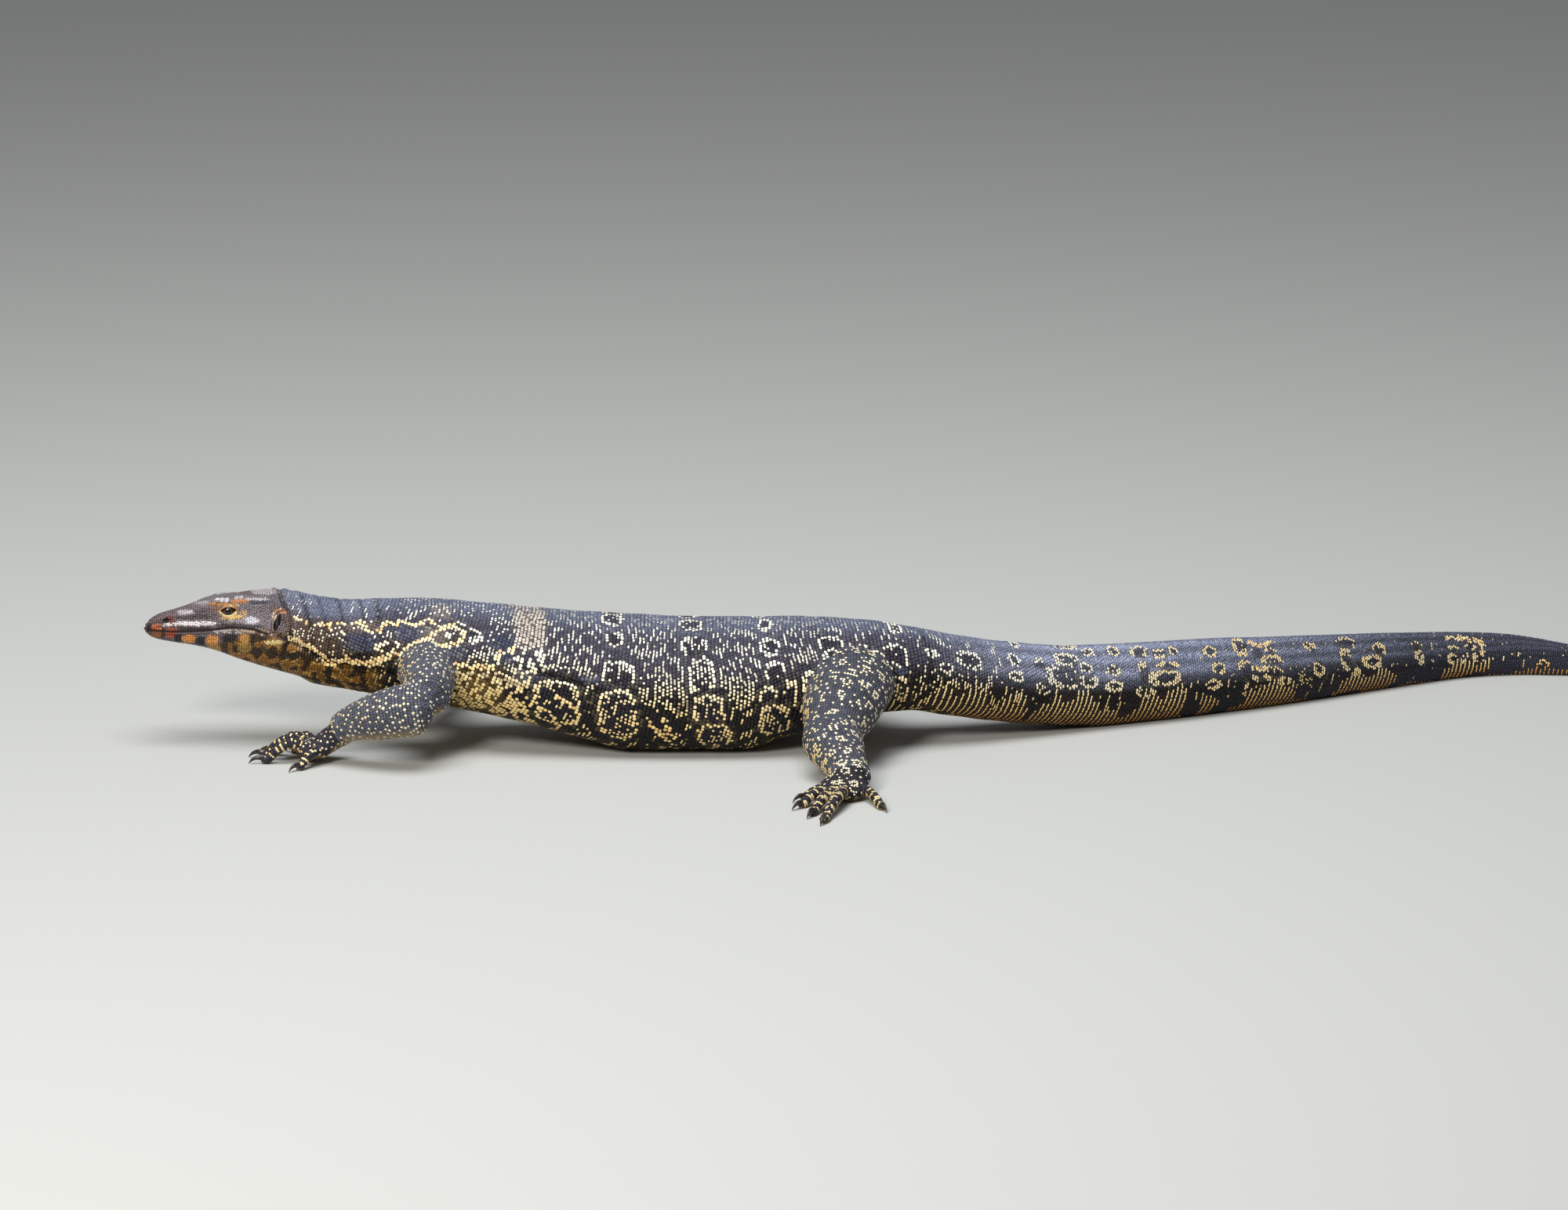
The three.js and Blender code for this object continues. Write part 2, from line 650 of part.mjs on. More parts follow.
const lizard = new THREE.Group();
lizard.add(
  piece("head", headSolid(), HIDE),
  piece("eye_left", eyeSolid(-1), CORNEA),
  piece("eye_right", eyeSolid(1), CORNEA),
  piece("neck", bodyLength(NECK_START, TORSO_START, NECK_SIDES), HIDE),
  piece("torso", torso, HIDE),
);
for (let i = 0; i < TAIL_CUTS.length - 1; i++) {
  const length = bodyLength(TAIL_CUTS[i], TAIL_CUTS[i + 1], TAIL_SIDES[i]);
  lizard.add(piece(`tail_${i + 1}`, length, HIDE));
}
for (const [leg, [upperName, lowerName, upperRows, lowerRows]] of Object.entries(LEGS)) {
  const side = leg.split("_")[0];
  const [upper, lower, foot] = legSolids(upperRows, lowerRows, FEET[`${leg}foot`], torsoRoom);
  lizard.add(
    piece(`${side}_${upperName}`, upper, HIDE),
    piece(`${side}_${lowerName}`, lower, HIDE),
    piece(`${leg}foot`, foot, PALE_HIDE),
  );
}
export default lizard;
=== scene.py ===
import math

import bmesh
import bpy
import numpy as np
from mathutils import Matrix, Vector
from mathutils.bvhtree import BVHTree
from mathutils.kdtree import KDTree


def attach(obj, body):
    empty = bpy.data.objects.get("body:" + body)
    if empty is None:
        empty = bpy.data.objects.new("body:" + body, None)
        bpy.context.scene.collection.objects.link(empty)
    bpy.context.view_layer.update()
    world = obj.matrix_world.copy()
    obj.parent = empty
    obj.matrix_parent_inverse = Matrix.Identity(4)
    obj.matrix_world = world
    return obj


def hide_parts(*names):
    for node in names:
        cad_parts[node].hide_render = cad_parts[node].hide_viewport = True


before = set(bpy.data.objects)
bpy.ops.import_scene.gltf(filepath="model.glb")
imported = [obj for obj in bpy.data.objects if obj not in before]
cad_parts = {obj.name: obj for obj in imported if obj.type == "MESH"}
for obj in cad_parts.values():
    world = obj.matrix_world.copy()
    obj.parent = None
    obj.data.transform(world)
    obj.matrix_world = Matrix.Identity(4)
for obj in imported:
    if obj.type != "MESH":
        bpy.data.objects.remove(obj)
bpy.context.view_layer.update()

# Water monitor lizard, in millimetres: +Z up, snout along -X, the animal's left side facing -Y
MM = 0.001
CHANCE = np.random.default_rng(11)

# Driving sizes, the same as the solids'
REST = -1.8
TAIL_END = 1082
SIDEWAYS, UNDERSIDE, TOP, HALF_WIDTH, LEAN = range(1, 6)
BODY = np.array([
    # x, sideways place, underside, top, half width, lean of the section in degrees
    (-345, 0, 65, 133, 27, 0),
    (-319, 0, 58, 130, 29.5, 0),
    (-306, 0, 51.5, 127, 31.5, 0),
    (-273, 0, 46, 123, 36, 0),
    (-239, 0, 41, 123.5, 43, 0),
    (-206, 0, 36, 123.5, 50, 0),
    (-173, 0, 30, 120.5, 56, 0),
    (-140, 0, 23, 117, 61, 0),
    (-106, 0, 15, 114, 65, 0),
    (-73, 0, 6, 111.5, 68, 0),
    (-40, 0, REST, 109.5, 70.5, 0),
    (-7, 0, REST, 108, 72, 0),
    (27, 0, REST, 107, 71.5, 0),
    (60, 0, REST, 107, 70, 0),
    (93, 0, 8, 107.5, 66, 0),
    (126, 1, 18, 106.5, 59, 0),
    (160, 3, 25, 104.5, 51, 0),
    (193, 7, 27, 99, 43.5, 0),
    (226, 14, 21.5, 91.5, 38.5, 0),
    (260, 25, 14, 83.5, 36, 0),
    (294, 38, 7, 77, 33.5, 0),
    (328, 52, 2, 71.5, 31, 0),
    (362, 66, REST, 69, 28.8, 0),
    (396, 80, REST, 67.5, 26.7, 0),
    (430, 95, REST, 66, 24.6, 0),
    (465, 112, REST, 64, 22.6, 0),
    (500, 130, REST, 60.5, 20.6, 0),
    (535, 150, REST, 57, 18.8, 0),
    (571, 172, REST, 53, 17, 0),
    (606, 194, REST, 49, 15.4, 0),
    (642, 216, REST, 44.5, 13.9, 0),
    (677, 235, REST, 40.5, 12.4, 0),
    (712, 247, REST, 36.5, 11.2, 8),
    (747, 252, REST, 33, 10.2, 30),
    (790, 250, REST, 29.5, 9.1, 50),
    (840, 240, REST, 25.8, 7.9, 56),
    (900, 221, REST, 21.4, 6.6, 56),
    (960, 200, REST, 17, 5.3, 54),
    (1020, 182, REST, 12.4, 3.9, 50),
    (1060, 173, REST, 8.6, 2.7, 46),
    (TAIL_END, 169, REST, 4.6, 1.5, 44),
], float)
ROUNDNESS = np.array([
    # x, height share of the widest place, upper exponent, lower exponent
    (-345, 0.45, 2.2, 2.0),
    (-273, 0.46, 2.1, 2.1),
    (-173, 0.44, 2.1, 2.2),
    (0, 0.42, 2.0, 2.5),
    (126, 0.44, 2.0, 2.3),
    (205, 0.45, 2.0, 2.2),
    (294, 0.44, 1.85, 2.2),
    (430, 0.42, 1.65, 2.3),
    (606, 0.4, 1.5, 2.3),
    (TAIL_END, 0.42, 1.5, 2.1),
], float)
BROW_HEIGHT, MOUTH = 2, 5
HEAD = np.array([
    # x, crown, brow height, brow half width, lip half width, mouth line, jaw half width, chin
    (-446.5, 101.5, 100.8, 2.6, 4.2, 98.6, 3.6, 95.5),
    (-444.5, 105.2, 103.8, 4.8, 7.0, 98.8, 6.2, 93.2),
    (-440, 109, 106.8, 6.6, 9.4, 98.8, 8.8, 90.8),
    (-434, 112, 109.4, 8.2, 11.4, 98.6, 10.8, 89.2),
    (-424, 115, 112, 9.6, 13.4, 98.8, 12.8, 87.4),
    (-410, 119.6, 116.2, 11.4, 16.0, 99.6, 15.4, 85.4),
    (-396, 125.2, 121.6, 14.6, 18.6, 100.8, 18.0, 82.6),
    (-384, 127.4, 126.2, 15.4, 21.2, 102.6, 20.4, 79.0),
    (-370, 128.8, 126.8, 16.6, 23.8, 104.2, 23.2, 73.6),
    (-356, 131.2, 125.8, 17.6, 26.2, 103.6, 26.4, 69.0),
    (-342, 132.6, 124.4, 19.6, 28.0, 99.8, 28.8, 65.0),
    (-330, 132, 122, 21.4, 28.8, 96.5, 29.4, 61.6),
    (-316, 130, 118, 24, 29.8, 93, 30, 57.2),
    (-300, 126, 112, 26, 31, 90, 31, 50),
], float)
HEAD_BLEND = (-334, -302)
LORE_HOLLOW = 0.9
LIP_RISE = 4.2
MOUTH_CORNER = -342
EYE = {"x": -375.5, "z": 116.8, "side": 13.6, "radius": 7.0, "lid": 0.85}
EYE_OPENING = {"length": 13.8, "up": 3.4, "down": 3.2, "tilt": -5, "rise": 1.1}
NOSTRIL = {"x": -429, "z": 107.6, "size": (2.7, 2.2, 2.1), "lean": 0, "out": 0.3, "sides": (20, 12)}
EAR = {"x": -334.0, "z": 109.5, "size": (2.7, 3.2, 7.2), "lean": 0.3, "out": 0.9, "sides": (28, 16)}

# Legs: each form is a row of x, y, z, half width, half thickness
LEG_FORMS = {
    "left_arm": ((-208, -22, 78, 27, 27), (-207, -50, 72, 24, 24), (-205, -78, 64, 21, 22),
                 (-206, -98, 57, 18, 19)),
    "left_forearm": ((-200, -99, 54, 19, 20), (-220, -97, 51, 22, 22.5), (-246, -90, 44, 20, 20.5),
                     (-268, -81, 36, 16, 15.5), (-286, -74, 27, 14.5, 12)),
    "left_thigh": ((152, -14, 66, 38, 32), (149, -44, 60, 37, 30), (141, -78, 47, 33, 27),
                   (133, -108, 34, 26, 22)),
    "left_shank": ((131, -102, 34, 24, 22), (134, -126, 29, 26, 21), (141, -152, 22, 21, 17),
                   (148, -176, 17, 17, 13), (149, -190, 14, 17, 11)),
    "right_arm": ((-208, 22, 78, 27, 27), (-204, 50, 73, 24, 24), (-196, 82, 65, 21, 22),
                  (-188, 108, 57, 18, 19)),
    "right_forearm": ((-188, 103, 55, 19, 20), (-187, 123, 50, 22, 22.5), (-188, 148, 43, 20, 20.5),
                      (-190, 168, 34, 16, 15.5), (-192, 186, 26, 14.5, 12)),
    "right_thigh": ((152, 14, 66, 38, 32), (145, 44, 60, 37, 30), (126, 78, 50, 33, 27),
                    (110, 104, 39, 26, 22)),
    "right_shank": ((112, 100, 38, 24, 22), (116, 124, 32, 26, 21), (128, 148, 24, 21, 17),
                    (140, 172, 18, 17, 13), (146, 188, 14, 17, 11)),
}
HAND_PALM = ((-9, 0, 29, 14.5, 12), (6, 0, 22, 16.5, 11), (20, 0, 12.5, 18, 9.8), (35, -1, 7, 17.5, 7.8))
HAND_TOES = (
    # base forward, base sideways, tip forward, tip sideways, arch, thickness, claw
    (28, -14, 47, -25, 21, 4.8, 10),
    (32, -8, 64, -16, 22, 5, 12),
    (33, 0, 69, -2, 22, 5.2, 12),
    (30, 8, 65, 16, 21, 5.1, 12),
    (14, 13, 31, 36, 17, 4.8, 11),
)
FOOT_SOLE = ((-10, 0, 17, 16.5, 12), (8, -1, 13.5, 19, 11), (22, -5, 9.2, 20, 9.4), (38, -8, 6.2, 18, 7.6))
FOOT_TOES = (
    (14, -17, 36, -37, 11, 4.8, 11),
    (32, -19, 60, -36, 12.5, 5, 12),
    (36, -11, 85, -24, 14, 5.2, 12),
    (36, -2, 106, -12, 15, 5.4, 13),
    (20, 13, 58, 31, 12, 4.8, 12),
)
FEET = {
    "left_forefoot": ((-278, -72), 172, 1, HAND_PALM, HAND_TOES),
    "right_forefoot": ((-191, 178), 96, -1, HAND_PALM, HAND_TOES),
    "left_hindfoot": ((149, -176), 264, 1, FOOT_SOLE, FOOT_TOES),
    "right_hindfoot": ((141, 174), 76, -1, FOOT_SOLE, FOOT_TOES),
}

# Coat: how deep it lies, its rows on legs and toes, and where that of the head ends
COAT_DEPTH = 0.5
ROOT_SUNK = 0.3
LEG_ROW, LEG_BEAD = 2.7, 2.6
TOE_ROW, TOE_BEAD = 2.2, 2.2
HEAD_END = -314

# Photograph
PHOTO_WIDTH = 2000
PHOTO_HEIGHT = 1544
VIEW_DOWN = math.radians(13)
VIEW_DISTANCE = 8.0
VIEW_CENTRE = np.array([0.0931, 0.0260, 0.1127])
VIEW_WIDTH = 1.33
VIEW_FORWARD = np.array([0, math.cos(VIEW_DOWN), -math.sin(VIEW_DOWN)])
VIEW_UP = np.array([0, math.sin(VIEW_DOWN), math.cos(VIEW_DOWN)])
CAMERA_PLACE = VIEW_CENTRE - VIEW_DISTANCE * VIEW_FORWARD
PIXELS_PER_TANGENT = PHOTO_WIDTH * VIEW_DISTANCE / VIEW_WIDTH


# Numbers and curves
def mix(a, b, t):
    return a + (b - a) * t


def smooth_step(low, high, x):
    """0 below low, 1 above high and a soft climb between."""
    t = np.clip((np.asarray(x, float) - low) / (high - low), 0, 1)
    return t * t * (3 - 2 * t)


def power(v, p):
    return np.sign(v) * np.abs(v) ** p


def unit(v):
    return v / np.maximum(np.linalg.norm(v, axis=-1, keepdims=True), 1e-9)


def bell(*offsets):
    """A soft bump, 1 in its middle: each offset is a distance divided by the bump's width."""
    return np.exp(-sum(offset**2 for offset in offsets))


def boxy_reach(across, down, p):
    """How far out a place lies on a rounded box, 1 on its rim: offsets are shares of its half sizes."""
    return (np.abs(across) ** p + np.abs(down) ** p) ** (1 / p)


def lengths_along(line):
    """The length run at each point of a line."""
    return np.append(0, np.cumsum(np.linalg.norm(np.diff(line, axis=0), axis=1)))


def along(knots, values, at):
    """A curve through the values that never overshoots them, at one or many places."""
    knots = np.asarray(knots, float)
    values = np.asarray(values, float)
    place = np.clip(np.atleast_1d(np.asarray(at, float)).ravel(), knots[0], knots[-1])
    if values.ndim == 1:
        values = np.broadcast_to(values[:, None], (len(knots), place.size))
    steps = np.diff(knots)
    rises = np.diff(values, axis=0) / steps[:, None]
    slopes = np.zeros(values.shape)
    slopes[0], slopes[-1] = rises[0], rises[-1]
    before, after = rises[:-1], rises[1:]
    total = np.where(before * after > 0, before + after, 1)
    slopes[1:-1] = np.where(before * after > 0, 2 * before * after / total, 0)
    i = np.clip(np.searchsorted(knots, place, side="right") - 1, 0, len(steps) - 1)
    n = np.arange(place.size)
    t = (place - knots[i]) / steps[i]
    start = t * (1 - t) * (1 - t) * steps[i] * slopes[i, n]
    end = t * t * (t - 1) * steps[i] * slopes[i + 1, n]
    found = mix(values[i, n], values[i + 1, n], t * t * (3 - 2 * t)) + start + end
    return found.reshape(np.shape(at))


def body_size(column, x):
    return along(BODY[:, 0], BODY[:, column], x)


def turn_at(x):
    """How far the body's middle line turns sideways at a station, in radians."""
    return np.arctan2(body_size(SIDEWAYS, x + 1) - body_size(SIDEWAYS, x - 1), 2)


def head_size(column, x):
    return along(HEAD[:, 0], HEAD[:, column], x)


def linear(hex_colour):
    """Red, green and blue of a written colour, as shares of light."""
    parts = [int(hex_colour[i:i + 2], 16) / 255 for i in (0, 2, 4)]
    return np.array([c / 12.92 if c <= 0.04045 else ((c + 0.055) / 1.055) ** 2.4 for c in parts])


# Sections of the body: angle 0 is the middle of the back, 90 the left side, 180 the belly
def body_half_point(x, degrees, grow):
    """Half width and height of the body's sections at angles from the back."""
    low = body_size(UNDERSIDE, x) - grow
    high = body_size(TOP, x) + grow
    half = body_size(HALF_WIDTH, x) + grow
    share, upper_power, lower_power = [
        along(ROUNDNESS[:, 0], ROUNDNESS[:, k], x) for k in (1, 2, 3)
    ]
    widest = mix(low, high, share)
    upper = degrees <= 90
    exponent = 2 / np.where(upper, upper_power, lower_power)
    reach = np.where(upper, high - widest, widest - low)
    t = np.radians(degrees)
    return half * power(np.sin(t), exponent), widest + reach * power(np.cos(t), exponent)


def head_half_point(x, degrees, grow):
    """The same for the head, through crown, brow, lip, mouth, jaw and chin."""
    crown, brow_z, brow, lip, mouth, jaw, chin = [head_size(k, x).ravel() for k in range(1, HEAD.shape[1])]
    lip_z = mouth + np.minimum(LIP_RISE, (brow_z - mouth) * 0.4)
    jaw_z = mouth - np.minimum(LIP_RISE, (mouth - chin) * 0.35)
    zero = np.zeros(x.size)
    keys = [
        (-24, -0.58 * brow, mix(crown, brow_z, 0.3)),
        (0, zero, crown),
        (24, 0.58 * brow, mix(crown, brow_z, 0.3)),
        (44, brow, brow_z),
        (66, mix(brow, lip, 0.55) - LORE_HOLLOW, mix(brow_z, lip_z, 0.55)),
        (82, lip, lip_z),
        (91, lip - 0.5, mouth),
        (101, jaw, jaw_z),
        (130, 0.84 * jaw, mix(jaw_z, chin, 0.62)),
        (156, 0.46 * jaw, mix(jaw_z, chin, 0.94)),
        (180, zero, chin),
        (204, -0.46 * jaw, mix(jaw_z, chin, 0.94)),
    ]
    angles = [key[0] for key in keys]
    flat = degrees.ravel()
    y = along(angles, np.array([key[1] for key in keys]), flat)
    z = along(angles, np.array([key[2] for key in keys]), flat)
    t = np.radians(flat)
    return (y + grow * np.sin(t)).reshape(x.shape), (z + grow * np.cos(t)).reshape(x.shape)


def half_point(x, degrees, grow):
    """Head and body in one, blended over the neck's start."""
    body_y, body_z = body_half_point(x, degrees, grow)
    head_y, head_z = head_half_point(x, degrees, grow)
    share = smooth_step(*HEAD_BLEND, x)
    return mix(head_y, body_y, share), mix(head_z, body_z, share)


def section_points(x, degrees, grow):
    """Points on the body before the drop of leaning sections, and their height."""
    across, height = half_point(x, np.minimum(degrees, 360 - degrees), grow)
    across = np.where(degrees <= 180, -across, across)
    lean = np.radians(body_size(LEAN, x))
    low = body_size(UNDERSIDE, x) - grow
    middle = (low + body_size(TOP, x) + grow) / 2
    return (
        across * np.cos(lean) + (height - middle) * np.sin(lean),
        middle - across * np.sin(lean) + (height - middle) * np.cos(lean),
    )


LEAN_STATIONS = np.arange(690, TAIL_END + 1, 4.0)


def lean_drops(grow):
    """How far the leaning sections of the tail are lowered to lie on the floor again."""
    x, degrees = np.meshgrid(LEAN_STATIONS, np.arange(0, 360, 7.5), indexing="ij")
    lowest = section_points(x, degrees, grow)[1].min(axis=1)
    drops = body_size(UNDERSIDE, LEAN_STATIONS) - grow - lowest
    return np.where(body_size(LEAN, LEAN_STATIONS) > 0, drops, 0)


DROPS = {grow: lean_drops(grow) for grow in (0, -COAT_DEPTH)}


def body_point(x, degrees, grow=0):
    """Points on the body's surface at stations x and angles, in millimetres."""
    x, degrees = np.broadcast_arrays(np.asarray(x, float), np.asarray(degrees, float))
    across, height = section_points(x, degrees, grow)
    drop = np.interp(x, LEAN_STATIONS, DROPS[grow], left=0)
    turn = turn_at(x)
    return np.stack([
        x - across * np.sin(turn),
        body_size(SIDEWAYS, x) + across * np.cos(turn),
        np.maximum(height + drop, -grow),
    ], axis=-1)


def side_at(x, z):
    """Half the body's width at a height."""
    degrees = np.arange(20, 171, 1.0)
    y, height = half_point(np.full(degrees.shape, float(x)), degrees, 0)
    return float(np.interp(-z, -height, y))


# Rounded forms along a curve: legs, palms, toes and claws
THINNEST = 0.05


def form(rows, blunt=0.8, samples=24):
    """What a form needs to be sampled: its curve by length, with its sizes and ends."""
    rows = np.array(rows, float)
    points = rows[:, :3]
    padded = np.vstack([2 * points[0] - points[1], points, 2 * points[-1] - points[-2]])
    places, turns = [], []
    for i in range(len(rows) - 1):
        p0, p1, p2, p3 = padded[i:i + 4]
        d0, d1, d2 = [np.linalg.norm(b - a) ** 0.5 for a, b in ((p0, p1), (p1, p2), (p2, p3))]
        m1 = ((p1 - p0) / d0 - (p2 - p0) / (d0 + d1) + (p2 - p1) / d1) * d1
        m2 = ((p2 - p1) / d1 - (p3 - p1) / (d1 + d2) + (p3 - p2) / d2) * d1
        t = np.linspace(0, 1, samples, endpoint=i == len(rows) - 2)[:, None]
        square, cube = 3 * (p2 - p1) - 2 * m1 - m2, 2 * (p1 - p2) + m1 + m2
        places.append(p1 + m1 * t + square * t**2 + cube * t**3)
        turns.append(i + t[:, 0])
    line = np.vstack(places)
    lengths = lengths_along(line)
    ends = [blunt * rows[0, 4], blunt * rows[-1, 4]]
    share = min(1, 0.8 * lengths[-1] / sum(ends))
    runs = unit(np.gradient(line, lengths, axis=0))
    return {"rows": rows, "line": line, "lengths": lengths, "index": np.concatenate(turns),
            "runs": runs, "ends": [end * share for end in ends], "length": lengths[-1]}


def form_point(shape, place, degrees, grow=0):
    """Points on a form, at lengths along it and angles round it: 0 is below and 180 above."""
    place, degrees = np.broadcast_arrays(np.asarray(place, float), np.asarray(degrees, float))
    at = [np.interp(place, shape["lengths"], shape["line"][:, k]) for k in range(3)]
    run = unit(np.stack([np.interp(place, shape["lengths"], shape["runs"][:, k]) for k in range(3)], -1))
    index = np.interp(place, shape["lengths"], shape["index"])
    rows = shape["rows"]
    from_start = np.clip(place / shape["ends"][0], 0, 1)
    from_end = np.clip((shape["length"] - place) / shape["ends"][1], 0, 1)
    rounding = np.sqrt((1 - (1 - from_start) ** 2) * (1 - (1 - from_end) ** 2))
    width = along(range(len(rows)), rows[:, 3], index) * rounding + grow
    thickness = along(range(len(rows)), rows[:, 4], index) * rounding + grow
    width, thickness = np.maximum(width, THINNEST), np.maximum(thickness, THINNEST)
    across = unit(np.cross((0, 0, 1), run))
    up = np.cross(run, across)
    t = np.radians(degrees - 90)[..., None]
    sideways = across * (width[..., None] * np.cos(t))
    upwards = up * (thickness[..., None] * np.sin(t))
    return np.stack(at, -1) + sideways + upwards


def foot_forms(foot):
    """The palm, toes and claws of a foot as rows of world places and sizes."""
    (at_x, at_y), points, side, palm, toes = FEET[foot]
    ahead = (math.cos(math.radians(points)), math.sin(math.radians(points)))
    beside = (-side * ahead[1], side * ahead[0])

    def placed(rows):
        return [
            (at_x + f * ahead[0] + s * beside[0], at_y + f * ahead[1] + s * beside[1], *rest)
            for f, s, *rest in rows
        ]

    toe_rows, claw_rows = [], []
    for base_f, base_s, tip_f, tip_s, arch, thick, claw in toes:
        shares = (
            # share of the way to the tip, height, half width
            (-0.12, 8.5, 0.95 * thick),
            (0.3, arch - 4, thick),
            (0.66, 0.55 * arch, 0.86 * thick),
            (0.92, 0.62 * thick, 0.8 * thick),
            (1.06, 0.62 * thick, 0.7 * thick),
        )
        toe_rows.append(placed(
            (mix(base_f, tip_f, share), mix(base_s, tip_s, share), z, size, size)
            for share, z, size in shares
        ))
        run = math.hypot(tip_f - base_f, tip_s - base_s)
        step = ((tip_f - base_f) / run, (tip_s - base_s) / run)
        nail = (
            # distance beyond the toe's tip, height, half thickness
            (-3.5, 0.8 * thick, 0.5 * thick),
            (0.1 * claw, 1.05 * thick, 0.48 * thick),
            (0.42 * claw, 1.05 * thick, 0.38 * thick),
            (0.75 * claw, 0.72 * thick, 0.24 * thick),
            (claw, 0.7, 0.3),
        )
        claw_rows.append(placed(
            (tip_f + out * step[0], tip_s + out * step[1], z, 0.8 * size, size) for out, z, size in nail
        ))
    return placed(palm), toe_rows, claw_rows


# Meshes
def added(name, data):
    """A new object in the scene."""
    piece = bpy.data.objects.new(name, data)
    bpy.context.scene.collection.objects.link(piece)
    return piece


def smoothed(mesh):
    mesh.polygons.foreach_set("use_smooth", [True] * len(mesh.polygons))


def mesh_piece(name, points, faces, smooth=True):
    """A mesh object from points in millimetres."""
    mesh = bpy.data.meshes.new(name)
    mesh.from_pydata((np.asarray(points) * MM).tolist(), [], [tuple(int(i) for i in f) for f in faces])
    mesh.validate()
    if smooth:
        smoothed(mesh)
    return added(name, mesh)


def loft(rings):
    """Points and faces of a closed tube through rings of equal count, facing outwards here."""
    count, sides = rings.shape[:2]
    ring, side = np.meshgrid(np.arange(count - 1), np.arange(sides), indexing="ij")
    a = ring * sides + side
    b = ring * sides + (side + 1) % sides
    faces = np.stack([a, a + sides, b + sides, b], -1).reshape(-1, 4).tolist()
    points = np.vstack([rings.reshape(-1, 3), rings[0].mean(axis=0), rings[-1].mean(axis=0)])
    ends, last = len(points) - 2, (count - 1) * sides
    faces += [(ends, s, (s + 1) % sides) for s in range(sides)]
    faces += [(ends + 1, last + (s + 1) % sides, last + s) for s in range(sides)]
    return points, faces


END_ANGLES = np.array([8, 22, 38, 55, 72])


def form_mesh(shape, step, sides, grow=0):
    """A form as a closed tube, with more rings where its ends round off."""
    ends = shape["ends"]
    inner = max(4, int((shape["length"] - sum(ends)) / step))
    rounding = 1 - np.cos(np.radians(END_ANGLES))
    places = np.concatenate([
        ends[0] * rounding,
        np.linspace(ends[0], shape["length"] - ends[1], inner),
        shape["length"] - (ends[1] * rounding)[::-1],
    ])
    angles = np.arange(sides) * 360 / sides
    return loft(form_point(shape, places[:, None], angles[None, :], grow))


def joined(parts):
    """Points and faces of several meshes in one list."""
    points, faces, start = [], [], 0
    for part_points, part_faces in parts:
        points.append(part_points)
        faces += [tuple(i + start for i in face) for face in part_faces]
        start += len(part_points)
    return np.vstack(points), faces


def applied(piece):
    """Replaces a piece's mesh by its modifiers' result."""
    depsgraph = bpy.context.evaluated_depsgraph_get()
    made = bpy.data.meshes.new_from_object(piece.evaluated_get(depsgraph))
    piece.modifiers.clear()
    old = piece.data
    piece.data = made
    bpy.data.meshes.remove(old)
    return piece


def values_of(items, key, width, kind=np.float32):
    """One property of all points, edges or faces of a mesh, a row for each."""
    values = np.empty(len(items) * width, kind)
    items.foreach_get(key, values)
    return values.reshape(-1, width)


def points_of(piece):
    return values_of(piece.data.vertices, "co", 3).astype(float) / MM


def normals_of(piece):
    return values_of(piece.data.vertices, "normal", 3).astype(float)


def move_points(piece, points):
    piece.data.vertices.foreach_set("co", (points * MM).astype(np.float32).ravel())
    piece.data.update()


def point_tree(points):
    """A search tree over points."""
    tree = KDTree(len(points))
    for k, point in enumerate(points):
        tree.insert(point, k)
    tree.balance()
    return tree


def relaxed(piece, points, weight, rounds):
    """Moves points towards the mean of their neighbours by a share that weight gives."""
    a, b = values_of(piece.data.edges, "vertices", 2, np.int32).T
    count = len(points)
    degree = np.bincount(np.concatenate([a, b]), minlength=count)[:, None]
    for _ in range(rounds):
        total = np.zeros(points.shape)
        for k in range(3):
            total[:, k] = np.bincount(a, points[b, k], count) + np.bincount(b, points[a, k], count)
        points = mix(points, total / np.maximum(degree, 1), weight[:, None])
    return points


# Head skin: lids, nostrils, lips and ear are pressed into the loft, then the openings are cut
FACE = (-440, -340)
NAPE = -305
TIP_RINGS = (
    # share of the first ring's size, how far in front of it
    (0.25, 0.32), (0.55, 0.27), (0.8, 0.18), (0.93, 0.08),
)
LID = {"gap": 0.15, "edge": 0.2, "blend": 1.6, "sunk": 0.42, "side": 8}
SOCKET = {"reach": 9.4, "width": 1.5, "top": 7, "depth": 0.55}
BROW = {"z": 126.5, "size": (10, 2.4), "side": 9, "rise": 0.7}
GAPE = {"width": 0.62, "fade": -350, "depth": 1.5}
LIPS = {"upper": (2.4, 1.5), "lower": (-2.6, 1.6), "lower_share": 0.7, "fade": -444.5, "rise": 0.45}
JAW_MUSCLE = {"x": -346, "z": 90, "size": (10, 9), "side": 15, "rise": 0.9}
NOSTRIL_RIM = {"reach": 3.1, "width": 1.1, "side": 4, "rise": 0.55}
EAR_RIM = {"margin": 1.2, "reach": 1.08, "width": 0.20, "rise": 0.95}
EAR_FOLD = {"behind": 6.0, "below": 1, "size": (1.5, 9), "rise": 1.1}
EAR_SIDE = 12
SNOUT_RIDGE = {"x": -412, "size": (16, 1.4), "rise": 0.6}
EYE_ROOM = 0.12
OPENING_DEPTHS = (2, 12)


def head_angles():
    """Angles round the head's sections, close together at the mouth line."""
    upper = np.concatenate([np.arange(0, 44, 4), np.arange(44, 82, 3), np.arange(82, 88, 1.5)])
    mouth = np.array([88, 89.2, 90, 90.5, 91, 91.5, 92, 92.8, 94, 96, 98.5, 101])
    lower = np.arange(105, 180, 5)
    half = np.concatenate([upper, mouth, lower])
    return np.concatenate([half, [180], 360 - half[:0:-1]])


